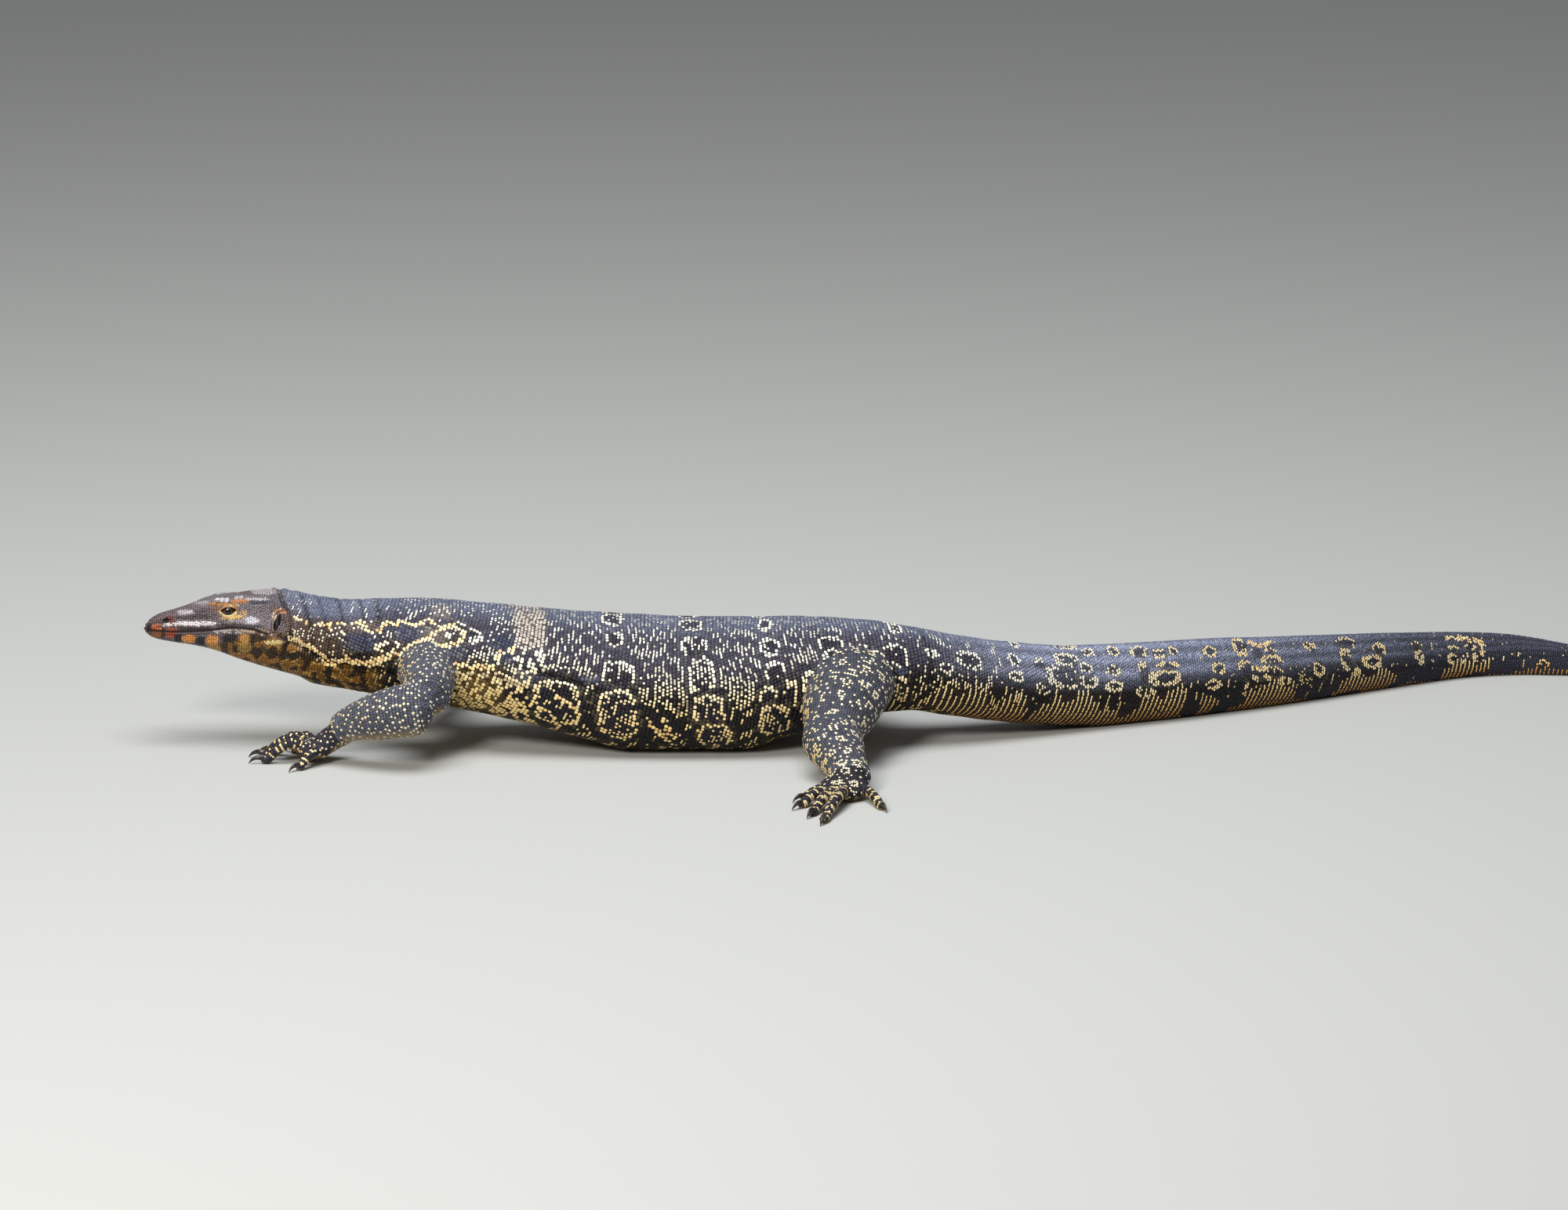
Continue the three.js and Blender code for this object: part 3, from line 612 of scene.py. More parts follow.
def head_loft(stop):
    """The head as one closed tube, with a rounded snout."""
    stations = np.concatenate([
        np.linspace(HEAD[0, 0], FACE[0], 12, endpoint=False),
        np.arange(*FACE, 0.95),
        np.arange(FACE[1], NAPE, 1.4),
        np.linspace(NAPE, stop, 20),
    ])
    rings = body_point(stations[:, None], head_angles()[None, :], -COAT_DEPTH)
    tip = [mix(rings[0].mean(axis=0), rings[0], share) - (out, 0, 0) for share, out in TIP_RINGS]
    return loft(np.concatenate([tip, rings]))


def almond(count=40):
    """The outline of the open lids, as x and z about the eye's middle."""
    half, up, down = EYE_OPENING["length"] / 2, EYE_OPENING["up"], EYE_OPENING["down"]
    t = np.arange(count) / count * 2
    x = np.where(t < 1, mix(-half, half, t), mix(half, -half, t - 1))
    z = np.where(t < 1, up * 4 * (t * (1 - t)), -down * 4 * ((t - 1) * (2 - t)))
    tilt = math.radians(EYE_OPENING["tilt"])
    across, above = x * math.cos(tilt) + z * math.sin(tilt), z * math.cos(tilt) - x * math.sin(tilt)
    return np.stack([across, above + EYE_OPENING["rise"]], -1)


def ellipsoid(centre, size, across=28, down=18):
    """A rounded hollow, for eye, nostril or ear."""
    theta = np.linspace(0, np.pi, down + 1)[1:-1, None]
    phi = np.linspace(0, 2 * np.pi, across, endpoint=False)[None, :]
    ring = np.stack([
        np.sin(theta) * np.cos(phi), np.sin(theta) * np.sin(phi), np.cos(theta) * np.ones_like(phi)
    ], -1)
    points, faces = loft(ring * np.array(size) + np.array(centre))
    points[-2] = np.array(centre) + (0, 0, size[2])
    points[-1] = np.array(centre) - (0, 0, size[2])
    return points, [face[::-1] for face in faces]


def ear_line(z):
    """Middle of the ear opening at a height, because it leans back towards its top."""
    return EAR["x"] + EAR["lean"] * (z - EAR["z"])


def ear_reach(x, z, margin=0):
    """How far out a place lies on the ear opening, 1 on its rim."""
    half_length, _, half_height = EAR["size"]
    return np.hypot((x - ear_line(z)) / (half_length + margin), (z - EAR["z"]) / (half_height + margin))


def nostril_reach(x, z, stretch=1.25):
    """Distance from the nostril's middle, with the distance along the head made less."""
    return np.hypot((x - NOSTRIL["x"]) / stretch, z - NOSTRIL["z"])


def mouth_reach(x, z):
    """How far above or below the mouth line a place lies."""
    return np.abs(z - head_size(MOUTH, x))


def bump_at(x, z, bump):
    """A soft bump on the side of the head."""
    return bell((x - bump["x"]) / bump["size"][0], (z - bump["z"]) / bump["size"][1])


def sculpt_head(points, normals):
    """Raises the lids and rims and presses the lip line, nostrils and the hollows of the face."""
    x, y, z = points.T
    side, apart = np.sign(y), np.abs(y)
    reach = np.hypot(x - EYE["x"], z - EYE["z"])
    ball = EYE["radius"] + EYE["lid"] + LID["gap"]
    dome = EYE["side"] + np.sqrt(np.maximum(ball**2 - reach**2, 0))
    near = (apart > LID["side"]) & (reach < ball - LID["edge"])
    lifted, blend = np.maximum(dome, apart), LID["blend"]
    soft = np.log(np.exp((dome - lifted) * blend) + np.exp((apart - lifted) * blend)) / blend + lifted
    y = np.where(near, side * (soft - LID["sunk"]), y)
    socket = bell((reach - SOCKET["reach"]) / SOCKET["width"]) * (apart > LID["side"])
    socket *= z - EYE["z"] < SOCKET["top"]
    brow = bump_at(x, z, {"x": EYE["x"], **BROW}) * (apart > BROW["side"])
    apart = np.abs(y)
    mouth = head_size(MOUTH, x)
    gape = (x < MOUTH_CORNER + 1) * bell((z - mouth) / GAPE["width"])
    gape *= smooth_step(MOUTH_CORNER + 2, GAPE["fade"], x)
    upper, lower = [bell((z - mouth - rise) / width) for rise, width in (LIPS["upper"], LIPS["lower"])]
    lip = (x < MOUTH_CORNER) * (upper + LIPS["lower_share"] * lower)
    lip *= smooth_step(HEAD[0, 0] + 0.3, LIPS["fade"], x)
    jaw_muscle = bump_at(x, z, JAW_MUSCLE) * (apart > JAW_MUSCLE["side"])
    nose = bell((nostril_reach(x, z) - NOSTRIL_RIM["reach"]) / NOSTRIL_RIM["width"])
    nose *= apart > NOSTRIL_RIM["side"]
    ear = ear_reach(x, z, EAR_RIM["margin"])
    ear_rim = bell((ear - EAR_RIM["reach"]) / EAR_RIM["width"]) * (apart > EAR_SIDE)
    ear_rim *= np.where(z > EAR["z"] + 2, 1.5, np.where(x < ear_line(z) + 1, 1.0, 0.6))
    behind, above = x - ear_line(z) - EAR_FOLD["behind"], z - EAR["z"] + EAR_FOLD["below"]
    ear_fold = bell(behind / EAR_FOLD["size"][0], above / EAR_FOLD["size"][1]) * (apart > EAR_SIDE)
    run, width = SNOUT_RIDGE["size"]
    snout_ridge = bell((x - SNOUT_RIDGE["x"]) / run) * bell((z - head_size(BROW_HEIGHT, x)) / width)
    height = (
        -SOCKET["depth"] * socket + BROW["rise"] * brow - GAPE["depth"] * gape + LIPS["rise"] * lip
        + JAW_MUSCLE["rise"] * jaw_muscle + NOSTRIL_RIM["rise"] * nose + EAR_RIM["rise"] * ear_rim
        + EAR_FOLD["rise"] * ear_fold + SNOUT_RIDGE["rise"] * snout_ridge
    )
    return np.stack([x, y, z], -1) + normals * height[:, None]


def face_out(bm):
    """Turns the faces of a closed mesh outwards."""
    bmesh.ops.recalc_face_normals(bm, faces=bm.faces[:])
    if bm.calc_volume(signed=True) < 0:
        bmesh.ops.reverse_faces(bm, faces=bm.faces[:])


def cut(piece, points, faces):
    """Takes the form of some points and faces out of a piece."""
    cutter = mesh_piece("cutter", points, faces, smooth=False)
    bm = bmesh.new()
    bm.from_mesh(cutter.data)
    face_out(bm)
    bm.to_mesh(cutter.data)
    bm.free()
    modifier = piece.modifiers.new("cut", "BOOLEAN")
    modifier.operation = "DIFFERENCE"
    modifier.solver = "MANIFOLD"
    modifier.object = cutter
    applied(piece)
    bpy.data.objects.remove(cutter)


def head_skin(stop):
    """The sculpted head with its openings cut."""
    piece = mesh_piece("head_skin", *head_loft(stop))
    move_points(piece, sculpt_head(points_of(piece), normals_of(piece)))
    x, z = (almond() + (EYE["x"], EYE["z"])).T
    for side in (-1, 1):
        cut(piece, *loft(np.stack([
            np.stack([x, np.full(len(x), side * (EYE["side"] + out)), z], -1) for out in OPENING_DEPTHS
        ])))
        cut(piece, *ellipsoid((EYE["x"], side * EYE["side"], EYE["z"]), (EYE["radius"] + EYE_ROOM,) * 3))
        for hole in (NOSTRIL, EAR):
            y = side * (side_at(hole["x"], hole["z"]) + hole["out"])
            points, faces = ellipsoid((hole["x"], y, hole["z"]), hole["size"], *hole["sides"])
            points[:, 0] += hole["lean"] * (points[:, 2] - hole["z"])
            cut(piece, points, faces)
    return piece


# The whole skin: head, the trunk with its legs, and tail, bridged into one
NECK_CUT = -256
TAIL_CUT = 238
BODY_REACH = 56
TRUNK_VOXEL = 1.8
JOINT_REACH = (3.0, 15.0)
SKIN_SHARE = 0.5
KNEE_DEPTH = 2.2
TOE_DEPTH = 0.4
LEG_MESH, PALM_MESH, TOE_MESH = (2.5, 40), (2, 32), (1.4, 20)
CORNER_ROUNDS, EVEN_ROUNDS = 22, 2
BELOW_BODY = 6
CUT_GAP = 0.5


def floor_pressed(points, level=0.15):
    """Flattens a form where it rests on the floor."""
    points = points.copy()
    points[:, 2] = np.maximum(points[:, 2], level)
    return points


def trunk_skin():
    """Trunk, legs and feet in one even mesh, with the corners between them filled."""
    stations = np.arange(NECK_CUT - 12, TAIL_CUT + 13, 3.0)
    trunk = loft(body_point(stations[:, None], np.arange(0, 360, 3.6)[None, :], -COAT_DEPTH))
    legs = [form_mesh(form(rows), *LEG_MESH, -COAT_DEPTH) for rows in LEG_FORMS.values()]
    for side in ("left", "right"):
        knee = LEG_FORMS[f"{side}_thigh"][2:] + LEG_FORMS[f"{side}_shank"][1:3]
        legs.append(form_mesh(form(knee), *LEG_MESH, -KNEE_DEPTH))
    toes = []
    for foot in FEET:
        palm, toe_rows, _ = foot_forms(foot)
        legs.append(form_mesh(form(palm), *PALM_MESH, -COAT_DEPTH))
        toes += [form_mesh(form(rows), *TOE_MESH, -TOE_DEPTH) for rows in toe_rows]
    shapes = [(floor_pressed(points), faces) for points, faces in (trunk, *legs, *toes)]
    piece = mesh_piece("skin", *joined(shapes))
    remesh = piece.modifiers.new("even", "REMESH")
    remesh.mode = "VOXEL"
    remesh.voxel_size = TRUNK_VOXEL * MM
    applied(piece)
    points = points_of(piece)
    apart = np.full((1 + len(legs), len(points)), 99.0)
    for reach, (shape_points, faces) in zip(apart, shapes):
        tree = BVHTree.FromPolygons([Vector(p) for p in shape_points], faces)
        for i, point in enumerate(points):
            found = tree.find_nearest(point, JOINT_REACH[1] + 1)
            if found[3] is not None:
                reach[i] = found[3]
    at_joint = 1 - smooth_step(*JOINT_REACH, np.sort(apart, axis=0)[1])
    points = relaxed(piece, points, 0.5 * at_joint, CORNER_ROUNDS)
    points = relaxed(piece, points, np.full(len(points), 0.25), EVEN_ROUNDS)
    move_points(piece, points)
    decimate = piece.modifiers.new("fewer", "DECIMATE")
    decimate.ratio = SKIN_SHARE
    return applied(piece)


def cut_plane(x):
    """Place and direction of the body's middle line at a station."""
    ahead = body_point(np.array([x - 0.5, x + 0.5]), np.array([0.0, 0.0]), -COAT_DEPTH)
    turn = float(turn_at(x))
    return Vector(ahead.mean(axis=0) * MM), Vector((math.cos(turn), math.sin(turn), 0))


def sliced(piece, x, keep_front):
    """Cuts a piece at a station and leaves it open there, without the limbs that reach past it."""
    place, run = cut_plane(x)
    side = Vector((-run.y, run.x, 0))
    lowest = (float(body_size(UNDERSIDE, x)) - BELOW_BODY) * MM
    bm = bmesh.new()
    bm.from_mesh(piece.data)

    def on_body(point):
        return abs((point - place).dot(side)) < BODY_REACH * MM and point.z > lowest

    faces = [face for face in bm.faces if on_body(face.calc_center_median())]
    edges = {edge for face in faces for edge in face.edges}
    points = {v for face in faces for v in face.verts}
    bmesh.ops.bisect_plane(bm, geom=[*points, *edges, *faces], dist=1e-6, plane_co=place, plane_no=run)
    gone = []
    for face in bm.faces:
        middle = face.calc_center_median()
        ahead = (middle - place).dot(run)
        if on_body(middle) and (ahead > 0 if keep_front else ahead < 0):
            gone.append(face)
    bmesh.ops.delete(bm, geom=gone, context="FACES")
    bm.to_mesh(piece.data)
    bm.free()


def zipped(bm, place, run, gap):
    """Joins the two open rings beside a cut by triangles, going round both by angle."""
    side = Vector((-run.y, run.x, 0))
    rings = ([], [])
    for v in {v for edge in bm.edges if edge.is_boundary for v in edge.verts}:
        away = v.co - place
        if abs(away.dot(run)) < 2 * gap:
            rings[away.dot(run) > 0].append((math.atan2(away.dot(side), away.z), v))
    for ring in rings:
        ring.sort(key=lambda pair: pair[0])

    def following(ring, k):
        angle, v = ring[(k + 1) % len(ring)]
        return angle + (math.tau if k + 1 >= len(ring) else 0), v

    front, rear = rings
    i, j = 0, 0
    while i < len(front) or j < len(rear):
        a, b = front[i % len(front)][1], rear[j % len(rear)][1]
        (angle_a, after_a), (angle_b, after_b) = following(front, i), following(rear, j)
        if j >= len(rear) or (i < len(front) and angle_a <= angle_b):
            bm.faces.new((a, b, after_a))
            i += 1
        else:
            bm.faces.new((a, b, after_b))
            j += 1


def whole_skin():
    """Head, trunk and tail, cut to length and joined to one closed skin."""
    head = head_skin(NECK_CUT + 6)
    trunk = trunk_skin()
    stations = np.arange(TAIL_CUT - 8, TAIL_END, 3.4)
    rings = body_point(stations[:, None], np.arange(0, 360, 6.0)[None, :], -COAT_DEPTH)
    tail = mesh_piece("tail_skin", *loft(rings))
    sliced(head, NECK_CUT - CUT_GAP, True)
    sliced(trunk, NECK_CUT + CUT_GAP, False)
    sliced(trunk, TAIL_CUT - CUT_GAP, True)
    sliced(tail, TAIL_CUT + CUT_GAP, False)
    bm = bmesh.new()
    for piece in (head, trunk, tail):
        bm.from_mesh(piece.data)
    for x in (NECK_CUT, TAIL_CUT):
        place, run = cut_plane(x)
        height = float(body_size(UNDERSIDE, x) + body_size(TOP, x)) / 2
        middle = Vector((place.x, float(body_size(SIDEWAYS, x)) * MM, height * MM))
        zipped(bm, middle, run, CUT_GAP * MM)
    bmesh.ops.triangulate(bm, faces=bm.faces[:])
    face_out(bm)
    bm.to_mesh(trunk.data)
    bm.free()
    for piece in (head, tail):
        bpy.data.objects.remove(piece)
    smoothed(trunk.data)
    return trunk


# Marks measured on the photograph, in its pixels; the right side wears them a little shifted
RINGS = (
    # left, right, top, bottom
    (599, 613, 804, 820), (571, 592, 795, 822), (523, 540, 829, 847), (481, 508, 823, 836),
    (684, 736, 870, 926), (770, 792, 783, 797), (775, 795, 807, 822), (769, 808, 846, 881),
    (764, 810, 884, 941), (868, 897, 791, 804), (871, 901, 814, 837), (881, 911, 840, 886),
    (887, 921, 889, 926), (892, 933, 927, 950), (967, 983, 791, 803), (972, 992, 816, 836),
    (978, 1003, 847, 878), (970, 989, 880, 903), (1003, 1016, 873, 901), (1027, 1042, 862, 891),
    (971, 1005, 904, 936), (1045, 1073, 812, 836), (1054, 1077, 832, 848), (1143, 1155, 866, 892),
    (1130, 1157, 824, 849), (1114, 1126, 832, 842), (1118, 1133, 850, 873), (1132, 1147, 796, 806),
    (1185, 1195, 830, 838), (1221, 1249, 833, 850), (1202, 1215, 847, 860),
    (1288, 1299, 836, 847), (1291, 1305, 857, 870), (1288, 1298, 817, 825), (1320, 1334, 842, 853),
    (1324, 1339, 872, 886), (1338, 1376, 852, 876), (1349, 1373, 835, 849), (1348, 1370, 820, 828),
    (1379, 1397, 862, 876), (1381, 1392, 847, 857), (1382, 1395, 828, 836), (1413, 1427, 825, 836),
    (1413, 1428, 850, 861), (1414, 1431, 870, 882), (1444, 1463, 826, 838), (1454, 1465, 848, 868),
    (1451, 1468, 876, 888), (1471, 1488, 830, 840), (1490, 1500, 826, 835), (1480, 1500, 845, 854),
    (1470, 1502, 857, 873), (1537, 1551, 826, 837), (1548, 1563, 846, 858), (1541, 1556, 868, 879),
    (1574, 1589, 816, 834), (1583, 1596, 844, 856), (1586, 1594, 859, 868), (1586, 1594, 871, 885),
    (1599, 1611, 828, 839), (1614, 1628, 826, 836), (1611, 1634, 838, 848), (1601, 1620, 859, 867),
    (1616, 1634, 852, 866), (1633, 1644, 865, 871), (1666, 1678, 820, 830), (1677, 1689, 845, 862),
    (1707, 1726, 814, 826), (1713, 1723, 829, 852), (1730, 1740, 842, 850), (1728, 1735, 856, 866),
    (1752, 1766, 822, 836), (1742, 1760, 838, 851), (1801, 1813, 820, 830), (1806, 1815, 832, 845),
    (1848, 1860, 824, 833), (1869, 1880, 820, 830), (1848, 1861, 835, 847), (1866, 1878, 835, 848),
    (1880, 1893, 835, 848), (1962, 1975, 842, 855),
)
LINES = (
    # width in millimetres, then the pixels that the line runs through
    (1.8, (360, 784), (378, 790), (396, 795), (417, 804), (440, 812)),
    (1.6, (400, 797), (420, 797), (440, 797), (462, 795), (466, 803), (481, 812), (486, 797)),
    (2.2, (486, 810), (486, 797), (501, 797), (515, 793), (524, 799), (536, 798), (546, 790), (556, 798)),
    (4.8, (371, 821), (383, 824), (400, 830), (412, 840), (421, 851), (440, 848), (463, 853), (480, 852),
     (493, 844), (504, 840), (514, 838)),
    (3.4, (513, 838), (524, 827), (541, 820), (557, 809), (566, 803), (577, 799), (590, 805), (592, 812),
     (587, 822), (560, 827), (541, 828), (526, 838)),
    (3.0, (525, 839), (541, 844), (556, 842), (567, 846)),
    (3.4, (571, 849), (589, 853), (614, 853), (622, 857), (633, 849), (635, 839), (656, 831)),
    (2.0, (1594, 820), (1606, 823), (1621, 820)),
    (2.0, (1599, 853), (1615, 853)),
    (1.8, (1846, 813), (1862, 814), (1890, 818), (1889, 835)),
    (2.6, (827, 921), (840, 936), (858, 950)),
    (2.6, (842, 918), (861, 944)),
    (2.4, (676, 905), (702, 914), (722, 938)),
    (2.4, (706, 892), (726, 901), (740, 920)),
)
DENSE_BANDS = (
    # left, right, top, bottom, share of light scales: where rows of light dots close up
    (656, 697, 764, 828, 0.92), (592, 646, 768, 819, 0.22),
    (522, 548, 758, 770, 0.5), (551, 574, 774, 790, 0.5), (536, 590, 803, 826, 0.5),
    (480, 512, 822, 846, 0.5), (436, 484, 795, 808, 0.34), (400, 436, 797, 836, 0.22),
    (1044, 1073, 812, 824, 0.6), (1852, 1888, 817, 828, 0.5), (1655, 1675, 855, 878, 0.3),
)
STROKE_BANDS = (
    # left, right, top, bottom, share: where light strokes run close together down the rows
    (656, 697, 829, 862, 0.8), (576, 640, 856, 908, 0.86), (640, 684, 866, 930, 0.85),
)
PLAIN_BANDS = (
    # left, right, top, bottom: dark with hardly a light scale; the band from 492 to 514 is painted shade
    # in the hollow before the arm
    (438, 482, 812, 843), (504, 550, 799, 820), (492, 514, 846, 866), (628, 655, 812, 848),
    (656, 694, 861, 880), (400, 440, 758, 790), (560, 596, 826, 846), (684, 696, 886, 932),
    (1140, 1160, 850, 900), (738, 766, 862, 874),
)
SKIN_SHEEN_AND_SHADE_BANDS = (
    # left, right, top, bottom, colour, strength: soft patches under the marks, with painted sheen in the
    # blue-grey over the neck top and painted shade in the black before the arm and in the dark blue
    # between shoulder band and arm
    (574, 636, 856, 908, "6a5328", 0.8), (364, 480, 754, 790, "8c92a8", 0.38),
    (366, 436, 792, 838, "5b4737", 0.75), (539, 590, 799, 824, "85776a", 0.6),
    (551, 574, 772, 790, "8b8078", 0.6), (436, 484, 795, 810, "796a5c", 0.6),
    (656, 694, 860, 880, "56545d", 0.7), (656, 697, 764, 828, "6b625f", 0.7),
    (480, 512, 822, 846, "5f4a33", 0.7), (491, 513, 846, 864, "120e0d", 0.9),
    (626, 657, 808, 850, "2e3348", 0.6),
)
BARS = (
    # left, right, share of the way round where they start: yellow bars that climb from under the tail
    (1140, 1200, 0.66), (1202, 1258, 0.50), (1262, 1270, 0.60), (1278, 1311, 0.55), (1326, 1338, 0.62),
    (1345, 1399, 0.50), (1404, 1412, 0.62), (1420, 1450, 0.68), (1458, 1516, 0.52), (1540, 1556, 0.66),
    (1594, 1650, 0.54), (1711, 1778, 0.56), (1845, 1900, 0.54),
)
CREASES = (
    # depth and width in millimetres, then the pixels that the fold runs through
    (2.3, 2.3, (354, 753), (360, 766), (366, 780), (371, 796), (371, 810), (365, 826)),
    (1.3, 2.4, (384, 759), (392, 786), (398, 818), (396, 846)),
    (0.9, 2.0, (405, 760), (414, 790), (421, 826), (424, 862)),
    (1.3, 1.8, (430, 762), (438, 796), (443, 834), (449, 872)),
    (1.3, 1.7, (458, 763), (464, 800), (466, 846)),
    (1.5, 1.7, (480, 764), (485, 800), (488, 838)),
    (1.8, 3.2, (356, 812), (392, 832), (424, 846), (464, 858), (500, 860)),
    (1.1, 2.2, (392, 858), (430, 872), (470, 884), (500, 894)),
    (1.0, 2.0, (372, 842), (402, 860), (440, 862), (476, 872)),
    (1.6, 3.0, (690, 860), (712, 864), (740, 872), (766, 884)),
    (1.2, 1.8, (580, 858), (592, 874), (600, 896), (604, 912)),
    (1.2, 1.8, (593, 856), (606, 872), (615, 892), (620, 910)),
    (1.2, 1.8, (606, 855), (621, 868), (632, 886), (638, 904)),
    (1.1, 1.8, (570, 862), (580, 880), (586, 900)),
    (1.0, 2.0, (622, 858), (640, 870), (660, 878), (684, 884)),
    (1.2, 2.4, (1030, 796), (1040, 804), (1050, 816)),
    (1.0, 2.6, (1092, 826), (1104, 850), (1112, 880)),
    (1.1, 2.4, (1178, 812), (1186, 838), (1190, 868)),
)

# Colours of the hide, with painted light among them: sheen in the blues of back, neck and tail, shade
# inside the openings and a highlight on the ear drum
CREAM = linear("fffae6")
YELLOW = linear("ffd984")
ORANGE = linear("d08c34")
# slate of the back, lightened by painted blue sky sheen
BACK_BLUE_AND_SHEEN = linear("62677a")
FLANK_SLATE = linear("44414e")
FLANK_BLACK = linear("120d0a")
RING_DARK = linear("211d26")
# blue-grey of the neck, lightened by painted sheen
NECK_BLUE_AND_SHEEN = linear("474c62")
BELLY_CREAM = linear("b99d62")
SHOULDER_BEIGE = linear("b3a094")
BAR_DARK = linear("2b1c12")
THROAT_TAN = linear("82560e")
LEG_SLATE = linear("555763")
TOE_DARK = linear("2e2c36")
# painted blue-grey sheen on the tail's upper side
TAIL_BLUE_AND_SHEEN = linear("84899f")
TAIL_DARK = linear("2a2b38")
HEAD_BROWN = linear("5f5557")
CHEEK_GREY = linear("6a5c5e")
SNOUT_TAN = linear("5c4c4e")
LID_PALE = linear("ecd092")
LID_EDGE = linear("b98554")
LID_WARM = linear("98602f")
# painted shade inside the mouth slit, eye socket, nostrils and ear, and a painted highlight on the ear
# drum
MOUTH_SHADE = linear("140d0b")
SOCKET_SHADE = linear("17100c")
NOSTRIL_SHADE = linear("1a0d09")
EAR_SHADE = linear("15100e")
EAR_DRUM_HIGHLIGHT = linear("6d6068")
IRIS_DARK = linear("24160f")
IRIS_RING = linear("6a4a22")
EYE_DARK = linear("15100d")
PUPIL = linear("040303")
HORN_DARK = linear("17120f")
HORN_LIGHT = linear("4c4038")
FLOOR_GREY = linear("b8b8b4")


def photo_pixels(points):
    """Where points in millimetres show in the photograph."""
    away = points * MM - CAMERA_PLACE
    depth = away @ VIEW_FORWARD
    return np.stack([
        PHOTO_WIDTH / 2 + away[..., 0] / depth * PIXELS_PER_TANGENT,
        PHOTO_HEIGHT / 2 - (away @ VIEW_UP) / depth * PIXELS_PER_TANGENT,
    ], -1)


# A table of the left side: stations, angles, the surface and how far round it each angle lies
STATIONS = np.arange(-446, TAIL_END, 2.0)
HALF_ANGLES = np.arange(0, 181, 1.5)
SIDE_COLUMN = 60
LOWEST_SEEN = 165
SURFACE = body_point(STATIONS[:, None], HALF_ANGLES[None, :])
ROUND = np.concatenate([
    np.zeros((len(STATIONS), 1)), np.cumsum(np.linalg.norm(np.diff(SURFACE, axis=1), axis=2), axis=1)
], axis=1)


def finder():
    """A tree over the pixels of the side that faces the camera."""
    pixels = photo_pixels(SURFACE)
    outward = np.cross(np.gradient(SURFACE, axis=0), np.gradient(SURFACE, axis=1))
    inside_out = np.where(outward[:, SIDE_COLUMN:SIDE_COLUMN + 1, 1] < 0, 1, -1)
    seen = ((outward @ VIEW_FORWARD) * inside_out < 0) & (HALF_ANGLES[None, :] < LOWEST_SEEN)
    station, angle = np.nonzero(seen)
    return point_tree([(*pixels[s, a], 0) for s, a in zip(station, angle)]), station, angle


PIXEL_TREE, SEEN_STATION, SEEN_ANGLE = finder()
LEAST_MARK = 1.6


def on_side(pixel):
    """Station, distance from the mid-back and angle of a photo pixel on the left side."""
    k = PIXEL_TREE.find((*pixel, 0))[1]
    s, a = SEEN_STATION[k], SEEN_ANGLE[k]
    return STATIONS[s], ROUND[s, a], HALF_ANGLES[a]


def box_on_side(left, right, top, bottom):
    """Middle and half sizes, along and round the surface, of a box of pixels."""
    column, row = (left + right) / 2, (top + bottom) / 2
    xs = [on_side((px, row))[0] for px in (left, right)]
    arounds = [on_side((column, py))[1] for py in (top, bottom)]
    half_x, half_around = (xs[1] - xs[0]) / 2, (arounds[1] - arounds[0]) / 2
    return sum(xs) / 2, sum(arounds) / 2, max(LEAST_MARK, half_x), max(LEAST_MARK, half_around)


def box_share(x, around, box, edge=0.25):
    """1 inside a box on the surface, 0 outside, soft at its edge."""
    cx, ca, hx, ha = box
    reach = np.maximum(np.abs(x - cx) / hx, np.abs(around - ca) / ha)
    return 1 - smooth_step(1 - edge, 1 + edge, reach)


def line_reach(x, around, pixels):
    """Distance to a line drawn through pixels, on the surface."""
    points = np.array([on_side(pixel)[:2] for pixel in pixels], float)
    reach = np.full(x.shape, 1e3)
    for start, end in zip(points[:-1], points[1:]):
        run = end - start
        t = np.clip(((x - start[0]) * run[0] + (around - start[1]) * run[1]) / max(run @ run, 1e-6), 0, 1)
        reach = np.minimum(reach, np.hypot(x - start[0] - t * run[0], around - start[1] - t * run[1]))
    return reach


# Skin folds: each crease is pressed in along a line on both sides
def fold_line(pixels, side):
    """Points in space along a line of pixels, on one side of the body."""
    x, _, degrees = np.array([on_side(pixel) for pixel in pixels], float).T
    t = np.linspace(0, len(x) - 1, 10 * len(x))
    x, degrees = [np.interp(t, range(len(pixels)), values) for values in (x, degrees)]
    return body_point(x, degrees if side < 0 else 360 - degrees)


FOLDED_LIMBS = ("left_forearm", "right_forearm", "left_shank", "right_shank")
LIMB_FOLDS = (
    # share of the limb's length, depth and width in millimetres
    (0.9, 0.6, 1.8), (0.8, 0.4, 1.6),
)
SLACK_DEPTH = 0.28


